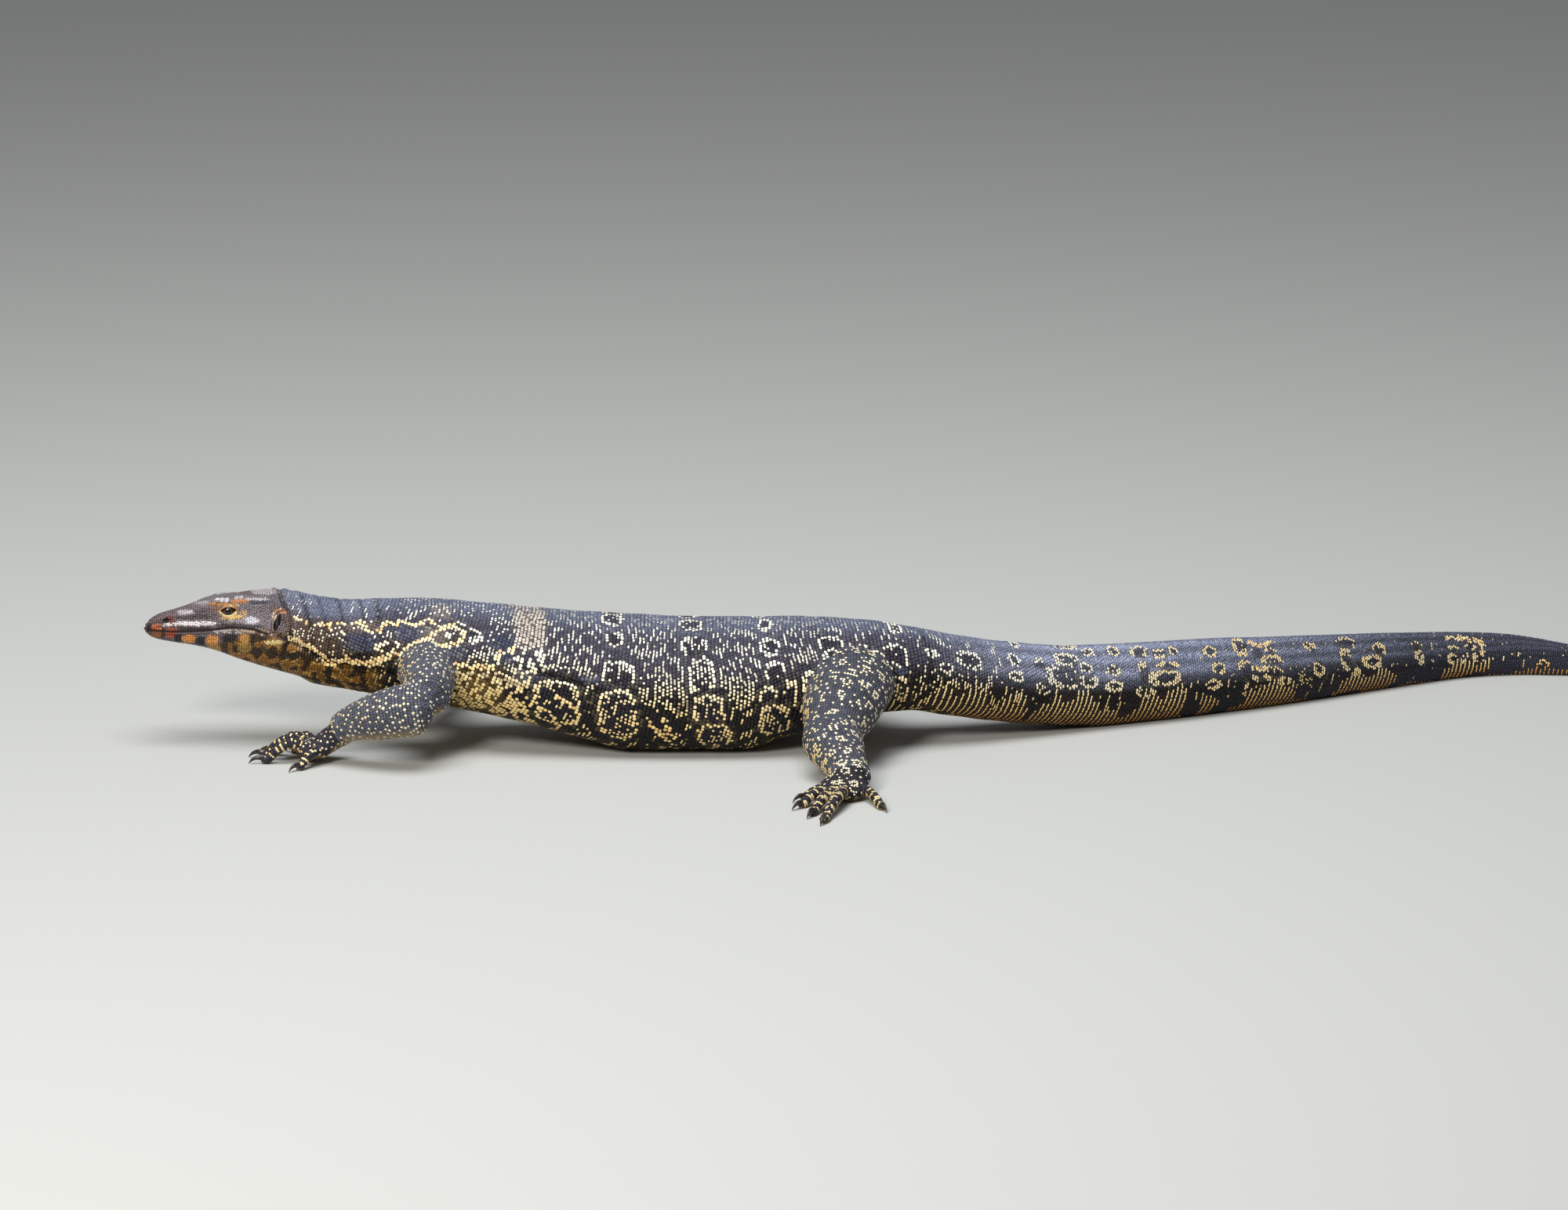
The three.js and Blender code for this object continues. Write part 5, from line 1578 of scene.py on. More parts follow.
def body_colours(group):
    """Colours of the scales of head, neck, trunk and tail, with which are lit and how far."""
    x, around, share, side, row, bead = [group[k] for k in ("x", "around", "share", "side", "row", "bead")]
    count = len(x)
    right = side > 0
    x_marks = x + np.where(right, 4 * np.sin(x / 31) + 3, 0)
    around_marks = around + np.where(right, 2.5 * np.sin(x / 19), 0)
    jitter, rough = CHANCE.random((2, count))
    x_ragged = x_marks + 3.4 * (jitter - 0.5)
    around_ragged = around_marks + 3.4 * (rough - 0.5)
    streak = CHANCE.random(int(row.max()) + 1)[row.astype(int)]
    ground = body_ground(x, share, 0.6 * streak + 0.4 * rough)
    light, dash = scattered_light(x, share, row, bead, side)
    warm = smooth_step(0.30, 0.62, share)
    warm = np.maximum(warm, smooth_step(260, 460, x) * 0.8)
    bold, thick, slim, pale = np.zeros((4, count), bool)
    orange, plain = np.zeros((2, count))

    # Dark partings low on the side, and the dark, soft and dense bands, with painted shade by the arm and
    # painted sheen on the neck top
    waves = np.sin((x + 0.5 * around) / 6.3 + 1.7 * np.sin(around / 9))
    waves = waves + np.sin((around - 0.4 * x) / 7.1 + 0.8)
    parting = smooth_step(0.9, 1.3, waves) * smooth_step(0.46, 0.54, share)
    parting *= 1 - smooth_step(120, 220, x)
    light *= 1 - parting
    ground = painted(ground, FLANK_BLACK, 0.8 * parting)
    for box in PLAIN_BANDS:
        plain = np.maximum(plain, box_share(x_ragged, around_ragged, box_on_side(*box)))
    light *= 1 - 0.92 * plain
    # the blue-grey laid here carries painted sheen
    ground = painted(ground, NECK_BLUE_AND_SHEEN, 0.7 * plain * (share < 0.46))
    ground = painted(ground, FLANK_BLACK, 0.8 * plain * (share >= 0.46))
    # skin patches, with painted sheen on the neck top and painted shade before and beside the arm
    for *box, colour, strength in SKIN_SHEEN_AND_SHADE_BANDS:
        band = box_share(x_ragged, around_ragged, box_on_side(*box), 0.45)
        ground = painted(ground, linear(colour), band * strength)
    for *box, dense in DENSE_BANDS:
        band = box_share(x_ragged, around_ragged, box_on_side(*box), 0.15) > 0.5
        net = np.where(CHANCE.random(count) < dense, 0.72 + 0.26 * jitter, 0)
        light = np.where(band, net, light)
        bold |= band & (dense > 0.7)
        pale |= band & (dense > 0.7)
    stroke = run_table(int(row.max()) + 1, int(bead.max()) + 1, STROKE_LENGTHS, STROKE_GAPS)
    stroke = stroke[right.astype(int), row.astype(int), bead.astype(int)]
    for *box, dense in STROKE_BANDS:
        band = box_share(x_ragged, around_ragged, box_on_side(*box), 0.25) > 0.5
        light = np.where(band, np.where(stroke > 1 - dense, 0.8 + 0.2 * jitter, 0), light)
        thick |= band

    # Rings with a dark middle and surround, and lines
    for pixels in RINGS:
        reach, small = ring_reach(x_marks, around_marks, box_on_side(*pixels))
        rim = np.abs(reach - 1 + 0.12 * (rough - 0.5)) * small < (1.6 if small > 4.5 else 1.25)
        light = np.where(reach < 0.84, np.where(jitter < (0.42 if small > 9 else 0.15), 0.9, 0), light)
        light = np.where((reach > 1.08) & (reach < 1.12 + 4.6 / small), light * 0.05, light)
        light = np.where(rim & (jitter < 0.93), 1.0, light)
        bold |= rim
        ground = painted(ground, RING_DARK, 0.7 * (1 - smooth_step(1.0, 1.45, reach)))
    lumps = np.sin(x / 2.3 + around / 3.1) * np.sin(around / 2.6 - x / 4.3)
    for width, *pixels in LINES:
        reach = line_reach(x_marks, around_marks, pixels)
        on_line = reach < width * (0.5 + 0.2 * lumps) + 0.7 + 1.7 * (rough - 0.5)
        orange = np.where(on_line & (jitter < 0.22), 0.55, orange)
        beside = (reach < width / 2 + 3.6) & ~on_line
        light = np.where(on_line, 1.0, np.where(beside, np.where(jitter < 0.16, 0.8, 0), light))
        thick |= on_line
        warm = np.where(on_line, np.maximum(warm, 0.4 + 0.5 * rough), warm)

    # Bars of the tail, and rows under it
    for left, end, low in BARS:
        start, stop = [on_side((px, BAR_ROW))[0] for px in (left, end)]
        climbs = np.maximum(0, share - 0.5) * 26
        inside = (x_marks + climbs > start) & (x_marks + climbs < stop + 4) & (share > low - 0.05)
        bar = inside & (row % 2 == 0) & (share > low + 0.07 * np.sin(2.7 * row))
        light = np.where(bar, 1.0, np.where(inside & (share > low + 0.03), 0, light))
        ground = painted(ground, BAR_DARK, 0.7 * (inside & (share > low)))
        slim |= bar
    under = (share + 0.04 * np.sin(x / 9) > 0.82) & (x > 235)
    light = np.where(under, np.where((row % 2 == 0) & (np.sin(x / 19) > -0.55), 0.9, 0), light)
    slim |= under

    # Cross bars of the belly, dimmed towards the lower edge by painted shade, marbled throat and painted
    # shade in the folds
    slant = (x + 0.35 * around + 3 * np.sin(x / 41)) / 15.5 + 0.22 * (rough - 0.5)
    tapered = 0.66 - 0.5 * smooth_step(0.72, 0.98, share)
    belly = (share > 0.75 + 0.04 * np.sin(x / 7) + 0.03 * (jitter - 0.5)) & (x > -262) & (x <= 235)
    # painted shade: the belly bars dim towards the lower edge
    bar_light_dimmed_by_shade = 0.8 - 0.3 * smooth_step(0.84, 0.98, share)
    light = np.where(belly, np.where((slant % 1 < tapered) | (jitter < 0.1), 0.03, bar_light_dimmed_by_shade), light)
    bold |= belly
    warm = np.where(belly, 1.0, warm)

    throat = smooth_step(0.54, 0.60, share + 0.03 * np.sin(x / 11)) * (1 - smooth_step(-262, -240, x))
    black, yellow = marbled(group["place"])
    ground = painted(ground, THROAT_TAN, throat * 0.9)
    ground = painted(ground, FLANK_BLACK, throat * black * 0.92)
    ground = painted(ground, YELLOW, throat * yellow * 0.35)
    light = light * (1 - throat * (light < 0.99))
    # painted shade along each crease: the ground is darkened and its light marks dimmed
    for depth, width, *pixels in CREASES:
        shadow = bell(line_reach(x_marks, around_marks, pixels) / (0.8 * width))
        ground = ground * (1 - min(0.75, 0.42 * depth) * shadow)[:, None]
        light = light * (1 - 0.5 * shadow * (light < 0.99))

    # Light colours, the head's own colours, and how much of each scale is light
    warm_colour = painted(np.tile(CREAM, (count, 1)), YELLOW, warm * (0.75 + 0.25 * jitter))
    warm_colour = painted(warm_colour, SHOULDER_BEIGE, pale * (0.35 + 0.6 * rough))
    under_tail = smooth_step(200, 240, x) * smooth_step(0.56, 0.80, share + 0.04 * (rough - 0.5)) * 0.9
    warm_colour = painted(warm_colour, ORANGE, np.maximum(orange, under_tail))
    colours = mix(ground, warm_colour, light[:, None])
    by_ear = np.hypot((x - EAR["x"] - 1.5) / 1.4, group["place"][:, 2] - EAR["z"]) < 10
    on_head = np.maximum(1 - smooth_step(-340, -322, x), by_ear & (np.abs(group["place"][:, 1]) > 15))
    face = head_colours(group["place"])
    group["ground"] = mix(ground, 0.8 * face, on_head[:, None])
    group["lit"] = (light > 0.2) & (on_head < 0.5)
    kinds = [slim, thick, bold & (x > 235), bold, dash]
    group["spread_along"] = np.select(kinds, [0.50, 0.74, 0.62, 0.66, 0.40], 0.50)
    group["spread_round"] = np.select(kinds, [0.96, 0.90, 0.80, 0.80, 0.96], 0.60)
    shade = np.where(group["lit"], 0.90 + 0.12 * rough, 0.86 + 0.28 * rough)
    return mix(colours * shade[:, None], face, on_head[:, None])


SPOT_POWER = 2.6
JAW_LINE = ((180, 830), (236, 829), (268, 826), (300, 814), (322, 808), (345, 812), (372, 824))


def head_colours(points):
    """Colours of the head, laid by where a place shows on the photographed left side, with painted
    highlights on snout, brow, crown, cheek and upper lip and painted shade under the upper lip.
    """
    count = len(points)
    mirrored = points.copy()
    mirrored[:, 1] = -np.abs(mirrored[:, 1])
    pixels = photo_pixels(mirrored)
    colours = np.tile(CHEEK_GREY, (count, 1))
    colours = painted(colours, HEAD_BROWN, smooth_step(116, 126, points[:, 2]))
    colours = painted(colours, SNOUT_TAN, 0.7 * (1 - smooth_step(-438, -405, points[:, 0])))
    jaw = np.interp(pixels[:, 0], *np.array(JAW_LINE, float).T)
    under = smooth_step(-4, 3, pixels[:, 1] - jaw)
    black, yellow = marbled(points)
    colours = painted(colours, THROAT_TAN, 0.9 * under)
    colours = painted(colours, FLANK_BLACK, under * black * smooth_step(240, 300, pixels[:, 0]) * 0.9)
    colours = painted(colours, ORANGE, under * yellow * 0.4)
    ragged = 0.3 * (CHANCE.random(count) - 0.5)
    # the spots include painted highlights and painted shade
    for px, py, half_x, half_y, colour, strength in HEAD_SPOTS_SHADE_AND_HIGHLIGHTS:
        reach = boxy_reach((pixels[:, 0] - px) / half_x, (pixels[:, 1] - py) / half_y, SPOT_POWER)
        colours = painted(colours, linear(colour), strength * (1 - smooth_step(0.75, 1.2, reach + ragged)))
    return colours * (0.84 + 0.32 * CHANCE.random(count))[:, None]


def plate_colours(group):
    """Colours of the plates, with pale beads under the eye and warm ones above it."""
    x, _, z = group["place"].T
    lid = (group["width"] < 1.7) & (np.hypot(x - EYE["x"], z - EYE["z"]) < 11)
    edge = group["width"] < 1.3
    low = z < EYE["z"] + 0.5
    colours = head_colours(group["place"])
    colours = painted(colours, LID_PALE, lid * low * 0.85)
    colours = painted(colours, LID_EDGE, lid * ~low * edge * 0.8)
    return painted(colours, LID_WARM, lid * ~low * ~edge * 0.8)


LEG_RING = {"apart": 13.0, "outer": 4.4, "inner": 1.8, "share": 0.72}


def apart_by(points, gap, chance=1.0):
    """Picks points in a random order, each at least a gap away from those picked before."""
    tree = point_tree(points)
    free = CHANCE.random(len(points)) < chance
    picked = []
    for k in CHANCE.permutation(len(points)):
        if free[k]:
            picked.append(k)
            for _, other, _ in tree.find_range(points[k], gap):
                free[other] = False
    return picked, tree


def leg_colours(group):
    """Colours of the scales of legs and feet: dots, rings of dots on the hind legs, bars on the toes."""
    place, out = group["place"], group["out"]
    count = len(place)
    toe, palm = group["kind"] == "toe", group["kind"] == "palm"
    rough = CHANCE.random(count)
    ground = np.tile(TOE_DARK if toe or palm else LEG_SLATE, (count, 1))
    ground = ground * ((0.68 + 0.56 * rough) * (1.05 if group["dotted"] else 0.76))[:, None]
    under = smooth_step(0.45, 0.85, -out[:, 2])
    ground = painted(ground, BELLY_CREAM, under * 0.5)
    light = np.zeros(count)
    dots, tree = apart_by(place, 3.1 if group["dotted"] else 5.0, 0.40)
    light[dots] = 0.70 + 0.30 * CHANCE.random(len(dots))
    if not group["dotted"] and not toe:
        for seed in apart_by(place, LEG_RING["apart"])[0]:
            for _, k, reach in tree.find_range(place[seed], LEG_RING["outer"]):
                on_ring = reach > LEG_RING["inner"] and CHANCE.random() < LEG_RING["share"]
                light[k] = 1.0 if on_ring else 0.0
    pick = CHANCE.random(count)
    if toe:
        long, whole = group["along"], group["whole"]
        period = 5.4 if group["dotted"] else 8.6
        slant = 1.6 * np.sin(np.radians(group["degrees"])) + 0.8 * np.sin(long / 3.7)
        bar = ((long + slant) / period % 1 < 0.44) & (long > 4) & (long < whole - 2)
        light = np.where(bar & (pick < (0.62 if group["dotted"] else 0.8)), 0.92, 0.0)
    else:
        front = (out[:, 0] < -0.66) & (out[:, 2] < 0.45) & (np.sin(group["along"] / 2.7) > -0.1)
        light = np.where(front & (pick < 0.6), 0.9, light)
    warm = np.clip(0.35 + 0.35 * toe + 0.5 * smooth_step(0.2, 0.9, -out[:, 0]), 0, 1)
    dot = painted(np.tile(CREAM, (count, 1)), YELLOW, warm)
    group["ground"] = ground
    group["lit"] = light > 0.3
    group["spread_along"] = (0.60 if toe else 0.56) + 0.24 * rough
    group["spread_round"] = (0.74 if toe else 0.62) + 0.24 * rough
    return mix(ground, dot * (0.88 + 0.12 * rough)[:, None], light[:, None])


COLOURS_OF = {"body": body_colours, "plates": plate_colours, "leg": leg_colours,
              "palm": leg_colours, "toe": leg_colours}


# Building the coat
HEX = np.radians(np.arange(0, 360, 60))
LEAST_SIZE, SIZE_SPREAD = 0.94, 0.12
PATCH_SIZE = 0.0014
PATCH_EDGE = 0.003
COAT_FLOOR = 0.02


def domes(group, lit):
    """The dark or the lit scales of a group as rings and tops: a lit one has a dark border ring more."""
    chosen = group["lit"] == lit
    pick = {name: values[chosen] for name, values in group.items() if isinstance(values, np.ndarray)}
    out = pick["out"]
    ahead = unit(pick["ahead"] - out * np.sum(pick["ahead"] * out, axis=1)[:, None])
    across = np.cross(out, ahead)
    count = len(out)
    plain = pick.get("spread", np.full(count, DARK_SPREAD))
    inner = (pick["spread_along"], pick["spread_round"]) if lit else (plain, plain)
    # painted shade and light: each ring darker towards the rim, the top brighter
    rings = [(np.ones(count), np.ones(count), pick["ground"] * RIM_SHADE)]
    if lit:
        border = [np.minimum(share + BORDER, 0.98) for share in inner]
        rings.append((*border, pick["ground"] * BORDER_SHADE))
    rings.append((*inner, pick["colours"] * SHOULDER_SHADE))
    half_length = pick["length"] * SCALE_REACH[0]
    half_width = pick["width"] * SCALE_REACH[1]
    sizes = LEAST_SIZE + SIZE_SPREAD * CHANCE.random(count)
    points, colours = [], []
    for k, (long_share, wide_share, colour) in enumerate(rings):
        lift = pick["height"] * (1 - 0.5 * long_share * wide_share) if k else np.full(count, -ROOT_SUNK)
        for t in HEX:
            step = ahead * (half_length * sizes * long_share * math.cos(t))[:, None]
            step += across * (half_width * sizes * wide_share * math.sin(t))[:, None]
            points.append(pick["place"] + step + out * lift[:, None])
            colours.append(colour)
    points.append(pick["place"] + out * pick["height"][:, None])
    colours.append(pick["colours"] * TOP_SHADE)
    return pick, np.stack(points, axis=1), np.stack(colours, axis=1)


def dome_faces(count, rings, first):
    """Corners of all faces: quads between the rings and triangles to the top."""
    start = first + np.arange(count)[:, None, None] * (6 * rings + 1)
    k = np.arange(6)
    following = (k + 1) % 6
    quads = [np.stack([k, following, following + 6, k + 6], -1) + 6 * ring for ring in range(rings - 1)]
    top = np.stack([k + 6 * rings - 6, following + 6 * rings - 6, np.full(6, 6 * rings)], -1)
    return (start + np.concatenate(quads)[None]).reshape(-1, 4), (start + top[None]).reshape(-1, 3)


def coloured(piece, colours):
    """Stores a colour at every point of a piece, for its material."""
    layer = piece.data.color_attributes.new(name="hide_colour", type="FLOAT_COLOR", domain="POINT")
    rgba = np.ones((len(colours), 4), np.float32)
    rgba[:, :3] = np.clip(colours, 0, 1)
    layer.data.foreach_set("color", rgba.ravel())


def coat_piece(name, parts):
    """One mesh of all the scales of a piece, each with its own colour and its own patch of the map."""
    points, colours, patches, quads, triangles = [], [], [], [], []
    patch = np.stack([np.cos(HEX), np.sin(HEX)], -1) * PATCH_SIZE
    first = 0
    for part in parts:
        count, levels = part["points"].shape[:2]
        rings = levels // 6
        spread = [patch * share for share in (1, 0.8, 0.6)[-rings:]]
        spread = np.concatenate([*spread, [(0, 0)]])
        four, three = dome_faces(count, rings, first)
        points.append(part["points"].reshape(-1, 3))
        colours.append(part["colours"].reshape(-1, 3))
        root = np.clip(part["root"], PATCH_EDGE, 1 - PATCH_EDGE)
        patches.append((root[:, None] + spread[None]).reshape(-1, 2))
        quads.append(four)
        triangles.append(three)
        first += count * levels
    flat, quads, triangles = [np.concatenate(items) for items in (points, quads, triangles)]
    flat[:, 2] = np.maximum(flat[:, 2], COAT_FLOOR)
    mesh = bpy.data.meshes.new(name)
    loops = np.concatenate([quads.ravel(), triangles.ravel()])
    starts = np.concatenate([np.arange(len(quads)) * 4, len(quads) * 4 + np.arange(len(triangles)) * 3])
    mesh.vertices.add(len(flat))
    mesh.vertices.foreach_set("co", (flat * MM).astype(np.float32).ravel())
    mesh.loops.add(len(loops))
    mesh.loops.foreach_set("vertex_index", loops.astype(np.int32))
    mesh.polygons.add(len(starts))
    mesh.polygons.foreach_set("loop_start", starts.astype(np.int32))
    smoothed(mesh)
    mesh.update(calc_edges=True)
    layer = mesh.uv_layers.new(name="OFBake")
    layer.data.foreach_set("uv", np.concatenate(patches)[loops].astype(np.float32).ravel())
    piece = added(name, mesh)
    coloured(piece, np.concatenate(colours))
    return piece


FILL_REACH = 0.80
FILL_GAPS = {"head": 1.35, "body": 1.7}
FILL_SIZES = (1.3, 2.4)
FILL_DOTS = {"share": 0.12, "beyond": 50}
LIP_SLIT = 1.3
FLOOR_CLEAR = 0.8


def gap_group(groups, piece):
    """Small scales where the rows leave room: over joints, round the lids and at the toes' roots."""
    names = ("place", "ahead", "length", "width", "height", "root", "piece", "ground", "colours")
    near = {name: np.concatenate([group[name] for group in groups]) for name in names}
    tree = point_tree(near["place"])
    centres = values_of(piece.data.polygons, "center", 3).astype(float) / MM
    normals = values_of(piece.data.polygons, "normal", 3).astype(float)
    index, reach = zip(*[tree.find(point)[1:] for point in centres])
    index, reach = np.array(index), np.array(reach)
    size = 0.5 * (near["length"] + near["width"])[index]
    x, y, z = centres.T
    on_head = x < HEAD_END
    bare = on_head & bare_on_head(centres) & ~on_brow(x, z, 122)
    slit = on_head & (mouth_reach(x, z) < LIP_SLIT) & (x < MOUTH_CORNER + 2)
    room = (reach > FILL_REACH * size) & ~bare & ~slit & ~in_socket(centres) & (z > FLOOR_CLEAR)
    chosen = []
    for head, gap in ((True, FILL_GAPS["head"]), (False, FILL_GAPS["body"])):
        part = np.nonzero(room & (on_head == head))[0]
        if len(part):
            chosen += [part[k] for k in apart_by(centres[part], gap)[0]]
    chosen = np.array(chosen)
    from_near = index[chosen]
    small = np.clip(0.7 * size[chosen], *FILL_SIZES)
    fill = {name: near[name][from_near] for name in ("ahead", "root", "piece", "ground", "colours")}
    fill["colours"] = np.where((on_head[chosen])[:, None], fill["colours"], fill["ground"])
    dots = (np.abs(y)[chosen] > FILL_DOTS["beyond"]) & (CHANCE.random(len(chosen)) < FILL_DOTS["share"])
    fill["colours"][dots] = 0.9 * CREAM
    fill.update(kind="fill", place=centres[chosen], out=normals[chosen], length=small, width=small * 1.1,
                height=0.75 * near["height"][from_near], lit=np.zeros(len(chosen), bool))
    return fill


def whole_coat(piece):
    """All scales, by the piece they belong to."""
    groups = [body_group(), head_plates(), *leg_groups()]
    settle(groups, piece)
    for group in groups:
        group["lit"] = np.zeros(len(group["place"]), bool)
        group["colours"] = COLOURS_OF[group["kind"]](group)
        group.setdefault("ground", group["colours"])
    groups.append(gap_group(groups, piece))
    by_piece = {}
    for group in groups:
        for lit in (False, True):
            if not np.any(group["lit"] == lit):
                continue
            pick, points, colours = domes(group, lit)
            facts = {key: pick[key] for key in ("ground", "root", "place")}
            facts.update(points=points, colours=colours)
            for name in sorted(set(pick["piece"])):
                inside = pick["piece"] == name
                part = {key: values[inside] for key, values in facts.items()}
                by_piece.setdefault(name, []).append(part)
    return by_piece


def dye_skin(piece, by_piece):
    """Gives the skin between the scales their own markings, darker, paints shade inside the mouth slit,
    eye socket, nostrils and ear, and a painted highlight on the ear drum.
    """
    parts = [part for parts in by_piece.values() for part in parts]
    place, colours = [np.concatenate([part[key] for part in parts]) for key in ("place", "ground")]
    tree = point_tree(place)
    points = points_of(piece)
    near = np.array([[found[1] for found in tree.find_n(point, 3)] for point in points])
    shades = colours[near].mean(axis=1) * 0.5
    x, y, z = points.T
    side = np.abs(y)
    mouth = (mouth_reach(x, z) < 0.8) & (x < MOUTH_CORNER) & (x > -445)
    nostril = (nostril_reach(x, z) < 2.3) & (side > 3)
    ear = ear_reach(x, z)
    hole = (ear < 0.98) & (side > EAR_SIDE)
    drum_highlight = hole * (1 - smooth_step(0.2, 0.6, ear)) * (x < ear_line(z))
    # painted shade in the openings and a painted highlight on the front of the ear drum
    for colour, share in (
        (MOUTH_SHADE, mouth * 0.9), (SOCKET_SHADE, in_socket(points) * 0.9), (NOSTRIL_SHADE, nostril * 0.9),
        (EAR_SHADE, hole * 0.95), (EAR_DRUM_HIGHLIGHT, drum_highlight * 0.8),
    ):
        shades = painted(shades, colour, share)
    coloured(piece, shades)


# Eyes and claws: the rings of the eye are angles from the middle of its pupil
CORNEA_BULGE = 0.035
PUPIL_EDGE = (20, 23)
IRIS_RING_AT, IRIS_RING_WIDTH = 25, 1.8
IRIS_EDGE = (38, 48)
CORNEA_EDGE = (26, 44)
CLAW_BLUNT = 0.3
CLAW_MESH = (0.9, 14)
CLAW_FLOOR = 0.05


def eyeball(name, side):
    """An eye with its cornea's bulge, coloured in rings from pupil to white."""
    polar = np.radians(np.concatenate([np.arange(2, 60, 2.0), np.arange(60, 176, 6.0)]))
    turn = np.radians(np.arange(0, 360, 7.5))
    bulge = 1 + CORNEA_BULGE * (1 - smooth_step(*CORNEA_EDGE, np.degrees(polar)))
    ring = np.stack([
        np.sin(polar)[:, None] * np.cos(turn)[None], np.cos(polar)[:, None] * np.ones_like(turn)[None],
        np.sin(polar)[:, None] * np.sin(turn)[None],
    ], -1) * (EYE["radius"] * bulge)[:, None, None]
    ring[..., 1] *= side
    points, faces = loft(ring + (EYE["x"], side * EYE["side"], EYE["z"]))
    if side > 0:
        faces = [face[::-1] for face in faces]
    piece = mesh_piece(name, points, faces)
    degrees = np.degrees(np.concatenate([np.repeat(polar, len(turn)), [0.0, np.pi]]))
    colours = np.tile(EYE_DARK, (len(points), 1))
    colours = painted(colours, IRIS_DARK, 1 - smooth_step(*IRIS_EDGE, degrees))
    colours = painted(colours, IRIS_RING, 0.8 * bell((degrees - IRIS_RING_AT) / IRIS_RING_WIDTH))
    colours = painted(colours, PUPIL, 1 - smooth_step(*PUPIL_EDGE, degrees))
    coloured(piece, colours)
    return piece


def claws(foot):
    """The claws of a foot in one piece."""
    nails = [form_mesh(form(rows, CLAW_BLUNT), *CLAW_MESH) for rows in foot_forms(foot)[2]]
    nails = [(floor_pressed(points, CLAW_FLOOR), faces) for points, faces in nails]
    return mesh_piece(f"claws_{foot}", *joined(nails))


# Materials
def material(name):
    """A material with an empty shader."""
    made = bpy.data.materials.new(name)
    made.use_nodes = True
    tree = made.node_tree
    tree.nodes.clear()
    output = tree.nodes.new("ShaderNodeOutputMaterial")
    shader = tree.nodes.new("ShaderNodeBsdfPrincipled")
    tree.links.new(shader.outputs[0], output.inputs["Surface"])
    return made, tree, shader


def node(tree, kind, links=None, **settings):
    """Adds a node, sets its properties or inputs, and links its inputs to sockets."""
    made = tree.nodes.new(kind)
    for key, value in settings.items():
        if hasattr(made, key):
            setattr(made, key, value)
        else:
            made.inputs[key.replace("_", " ")].default_value = value
    for key, socket in (links or {}).items():
        tree.links.new(socket, made.inputs[key])
    return made


def texture(tree, kind, output, **settings):
    """A pattern over the object's own coordinates, as one output socket."""
    place = node(tree, "ShaderNodeTexCoord")
    return node(tree, kind, {"Vector": place.outputs["Object"]}, **settings).outputs[output]


def ranged(tree, value, low, high, **settings):
    """A value turned to the range from low to high."""
    made = node(tree, "ShaderNodeMapRange", {"Value": value}, To_Min=low, To_Max=high, **settings)
    return made.outputs["Result"]


def stained(tree, shader, strength):
    """Gives the shader the painted colour, times a strength."""
    colour = node(tree, "ShaderNodeAttribute", attribute_name="hide_colour")
    sockets = {0: colour.outputs["Color"], 1: strength}
    varied = node(tree, "ShaderNodeVectorMath", sockets, operation="MULTIPLY")
    tree.links.new(varied.outputs["Vector"], shader.inputs["Base Color"])


def hide_material(name, roughness, grain_mm, bump_mm, speckle, gloss):
    """Reptile hide: keratin over skin. Its colour is the markings' own, broken by fine grain."""
    made, tree, shader = material(name)
    grain = texture(tree, "ShaderNodeTexNoise", "Fac", Scale=1000 / grain_mm, Detail=3.0, Roughness=0.6)
    middle = {"From_Min": 0.3, "From_Max": 0.7}
    stained(tree, shader, ranged(tree, grain, 1 - speckle, 1 + speckle, **middle))
    matt = ranged(tree, grain, roughness - 0.07, roughness + 0.09, **middle)
    tree.links.new(matt, shader.inputs["Roughness"])
    pits = texture(tree, "ShaderNodeTexVoronoi", "Distance", Scale=1000 / (grain_mm * 1.6))
    bump = node(tree, "ShaderNodeBump", {"Height": pits}, Strength=0.35, Distance=bump_mm * MM)
    tree.links.new(bump.outputs["Normal"], shader.inputs["Normal"])
    shader.inputs["IOR"].default_value = 1.5
    shader.inputs["Specular IOR Level"].default_value = gloss
    return made


def eye_material():
    """Cornea over a dark iris: wet, clear and smooth, so it carries a small sharp light."""
    made, tree, shader = material("wet_cornea")
    fibres = texture(tree, "ShaderNodeTexNoise", "Fac", Scale=1400.0, Detail=2.0)
    stained(tree, shader, ranged(tree, fibres, 0.7, 1.3))
    shader.inputs["Roughness"].default_value = 0.06
    shader.inputs["IOR"].default_value = 1.376
    shader.inputs["Coat Weight"].default_value = 0.6
    shader.inputs["Coat Roughness"].default_value = 0.03
    return made


def claw_material():
    """Claw horn, grown in thin layers and worn smooth: dark, with faint streaks along it."""
    made, tree, shader = material("claw_horn")
    streaks = texture(tree, "ShaderNodeTexNoise", "Fac", Scale=420.0, Detail=4.0)
    ramp = node(tree, "ShaderNodeValToRGB", {"Fac": streaks})
    for element, colour, position in zip(ramp.color_ramp.elements, (HORN_DARK, HORN_LIGHT), (0.35, 0.75)):
        element.color = (*colour, 1)
        element.position = position
    tree.links.new(ramp.outputs["Color"], shader.inputs["Base Color"])
    shader.inputs["Roughness"].default_value = 0.28
    return made


# Assembly
skin = whole_skin()
press_folds(skin)
coat = whole_coat(skin)
dye_skin(skin, coat)
pieces = {name: coat_piece(name, parts) for name, parts in coat.items()}
eyes = {"eye_left": eyeball("eyeball_left", -1), "eye_right": eyeball("eyeball_right", 1)}
nails = [claws(foot) for foot in FEET]

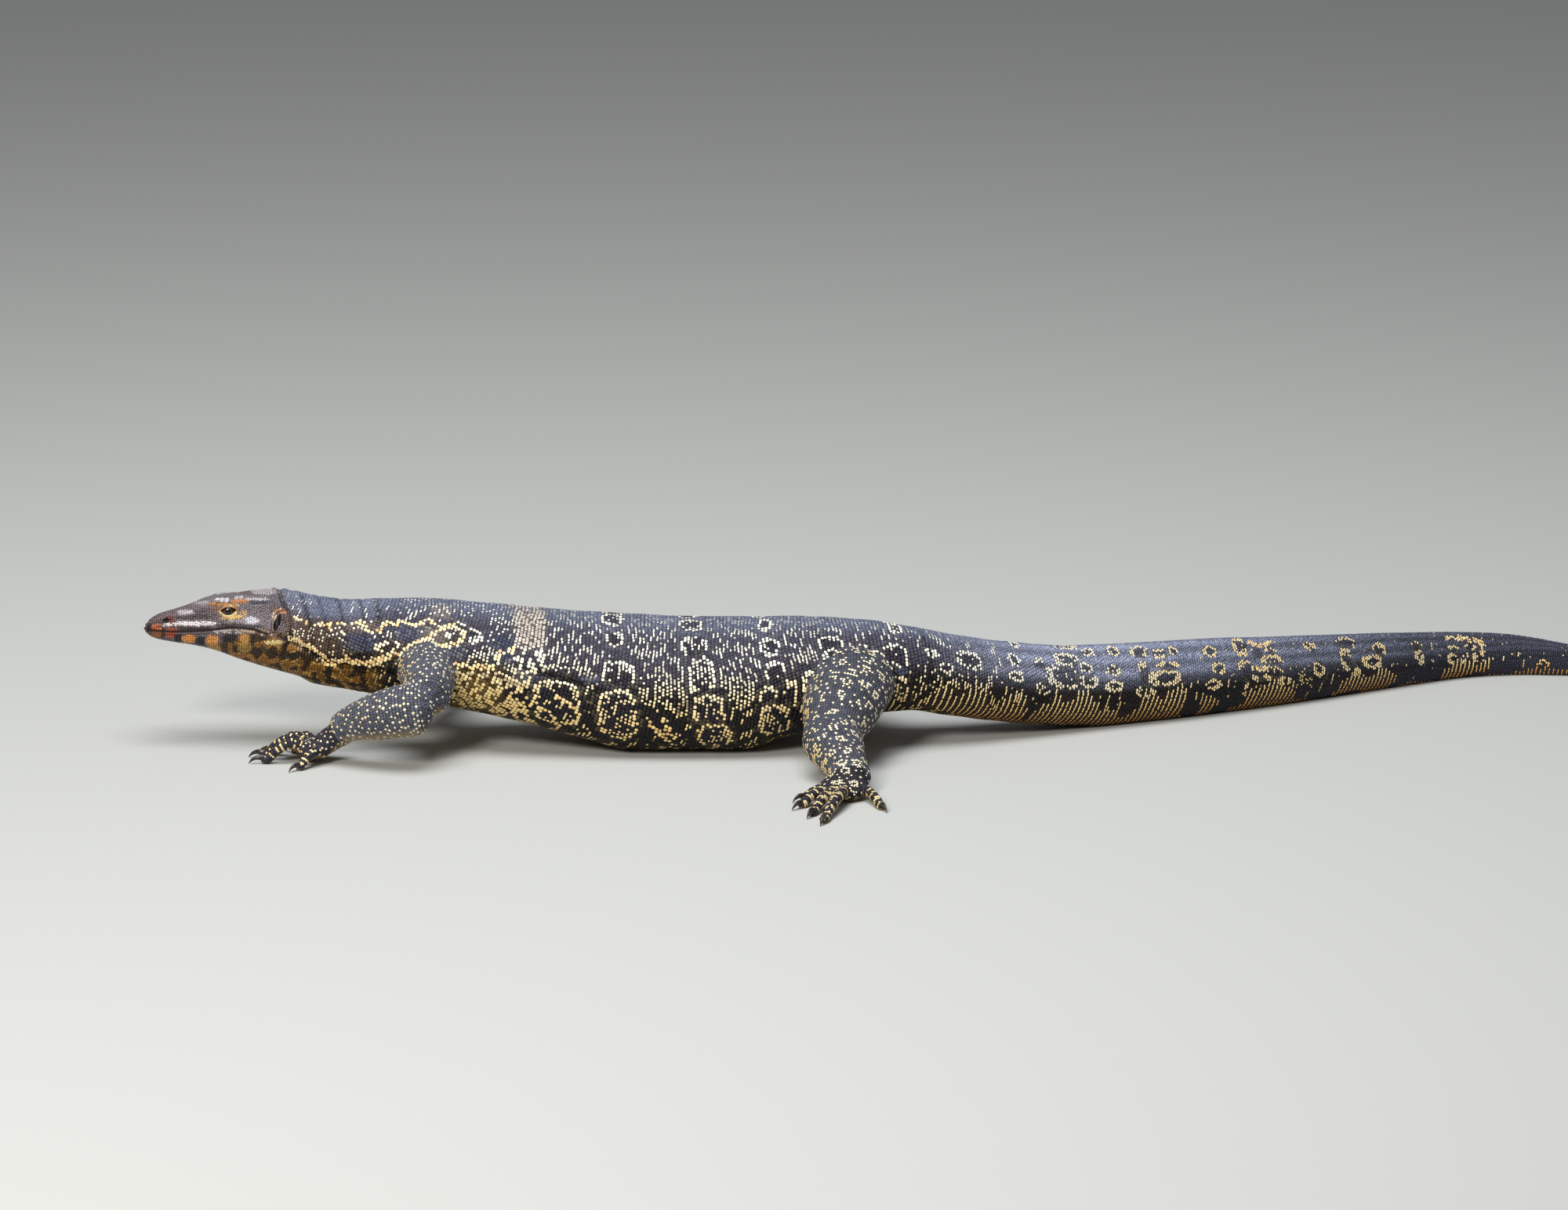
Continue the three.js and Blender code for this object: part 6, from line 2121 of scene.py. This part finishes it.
# Each hide: roughness, grain and bump in millimetres, speckle and gloss
skin_hide = hide_material("leather_skin", 0.62, 0.7, 0.12, 0.22, 0.15)
scale_hide = hide_material("scale_keratin", 0.42, 0.9, 0.05, 0.16, 0.26)
head_hide = hide_material("head_shield_keratin", 0.32, 0.9, 0.03, 0.14, 0.42)
skin.data.materials.append(skin_hide)
for name, piece in pieces.items():
    piece.data.materials.append(head_hide if name == "coat_head" else scale_hide)
cornea = eye_material()
for piece in eyes.values():
    piece.data.materials.append(cornea)
horn = claw_material()
for piece in nails:
    piece.data.materials.append(horn)

for piece in (skin, *pieces.values(), *eyes.values(), *nails):
    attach(piece, "root")
for name, piece in eyes.items():
    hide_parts(name)
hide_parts(*[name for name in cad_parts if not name.startswith("eye_")])

# Floor, light and camera
FLOOR_HALF = 30000
WORLD_COLOUR = (0.86, 0.9, 0.95, 1)
WORLD_STRENGTH = 0.2
SENSOR_WIDTH = 36
LIGHTS = (
    # name, place and aim in metres, size, watts, colour
    ("sky_panel", (-0.2, -0.5, 3.0), (0.1, 0, 0.05), 2.2, 98, (0.94, 0.97, 1.0)),
    ("front_panel", (-1.3, -3.0, 2.2), (0, 0, 0.06), 1.0, 95, (1.0, 0.97, 0.92)),
)


def floor():
    corners = [(x * FLOOR_HALF, y * FLOOR_HALF, 0) for x, y in ((-1, -1), (1, -1), (1, 1), (-1, 1))]
    piece = mesh_piece("floor", corners, [(0, 1, 2, 3)], smooth=False)
    made, _, shader = material("floor_paint")
    shader.inputs["Base Color"].default_value = (*FLOOR_GREY, 1)
    shader.inputs["Roughness"].default_value = 0.9
    piece.data.materials.append(made)


def area_light(name, place, aim, size, watts, colour):
    data = bpy.data.lights.new(name, "AREA")
    data.shape = "DISK"
    data.size = size
    data.energy = watts
    data.color = colour
    lamp = added(name, data)
    lamp.location = place
    lamp.rotation_euler = (Vector(aim) - Vector(place)).to_track_quat("-Z", "Y").to_euler()


floor()
for light in LIGHTS:
    area_light(*light)
world = bpy.data.worlds.new("studio")
bpy.context.scene.world = world
world.use_nodes = True
world.node_tree.nodes["Background"].inputs["Color"].default_value = WORLD_COLOUR
world.node_tree.nodes["Background"].inputs["Strength"].default_value = WORLD_STRENGTH
bpy.context.scene.view_settings.view_transform = "Standard"

camera_data = bpy.data.cameras.new("camera")
camera_data.sensor_width = SENSOR_WIDTH
camera_data.lens = SENSOR_WIDTH * VIEW_DISTANCE / VIEW_WIDTH
camera_data.clip_end = 200
camera = added("camera", camera_data)
camera.location = CAMERA_PLACE
camera.rotation_euler = (math.pi / 2 - VIEW_DOWN, 0, 0)
bpy.context.scene.camera = camera
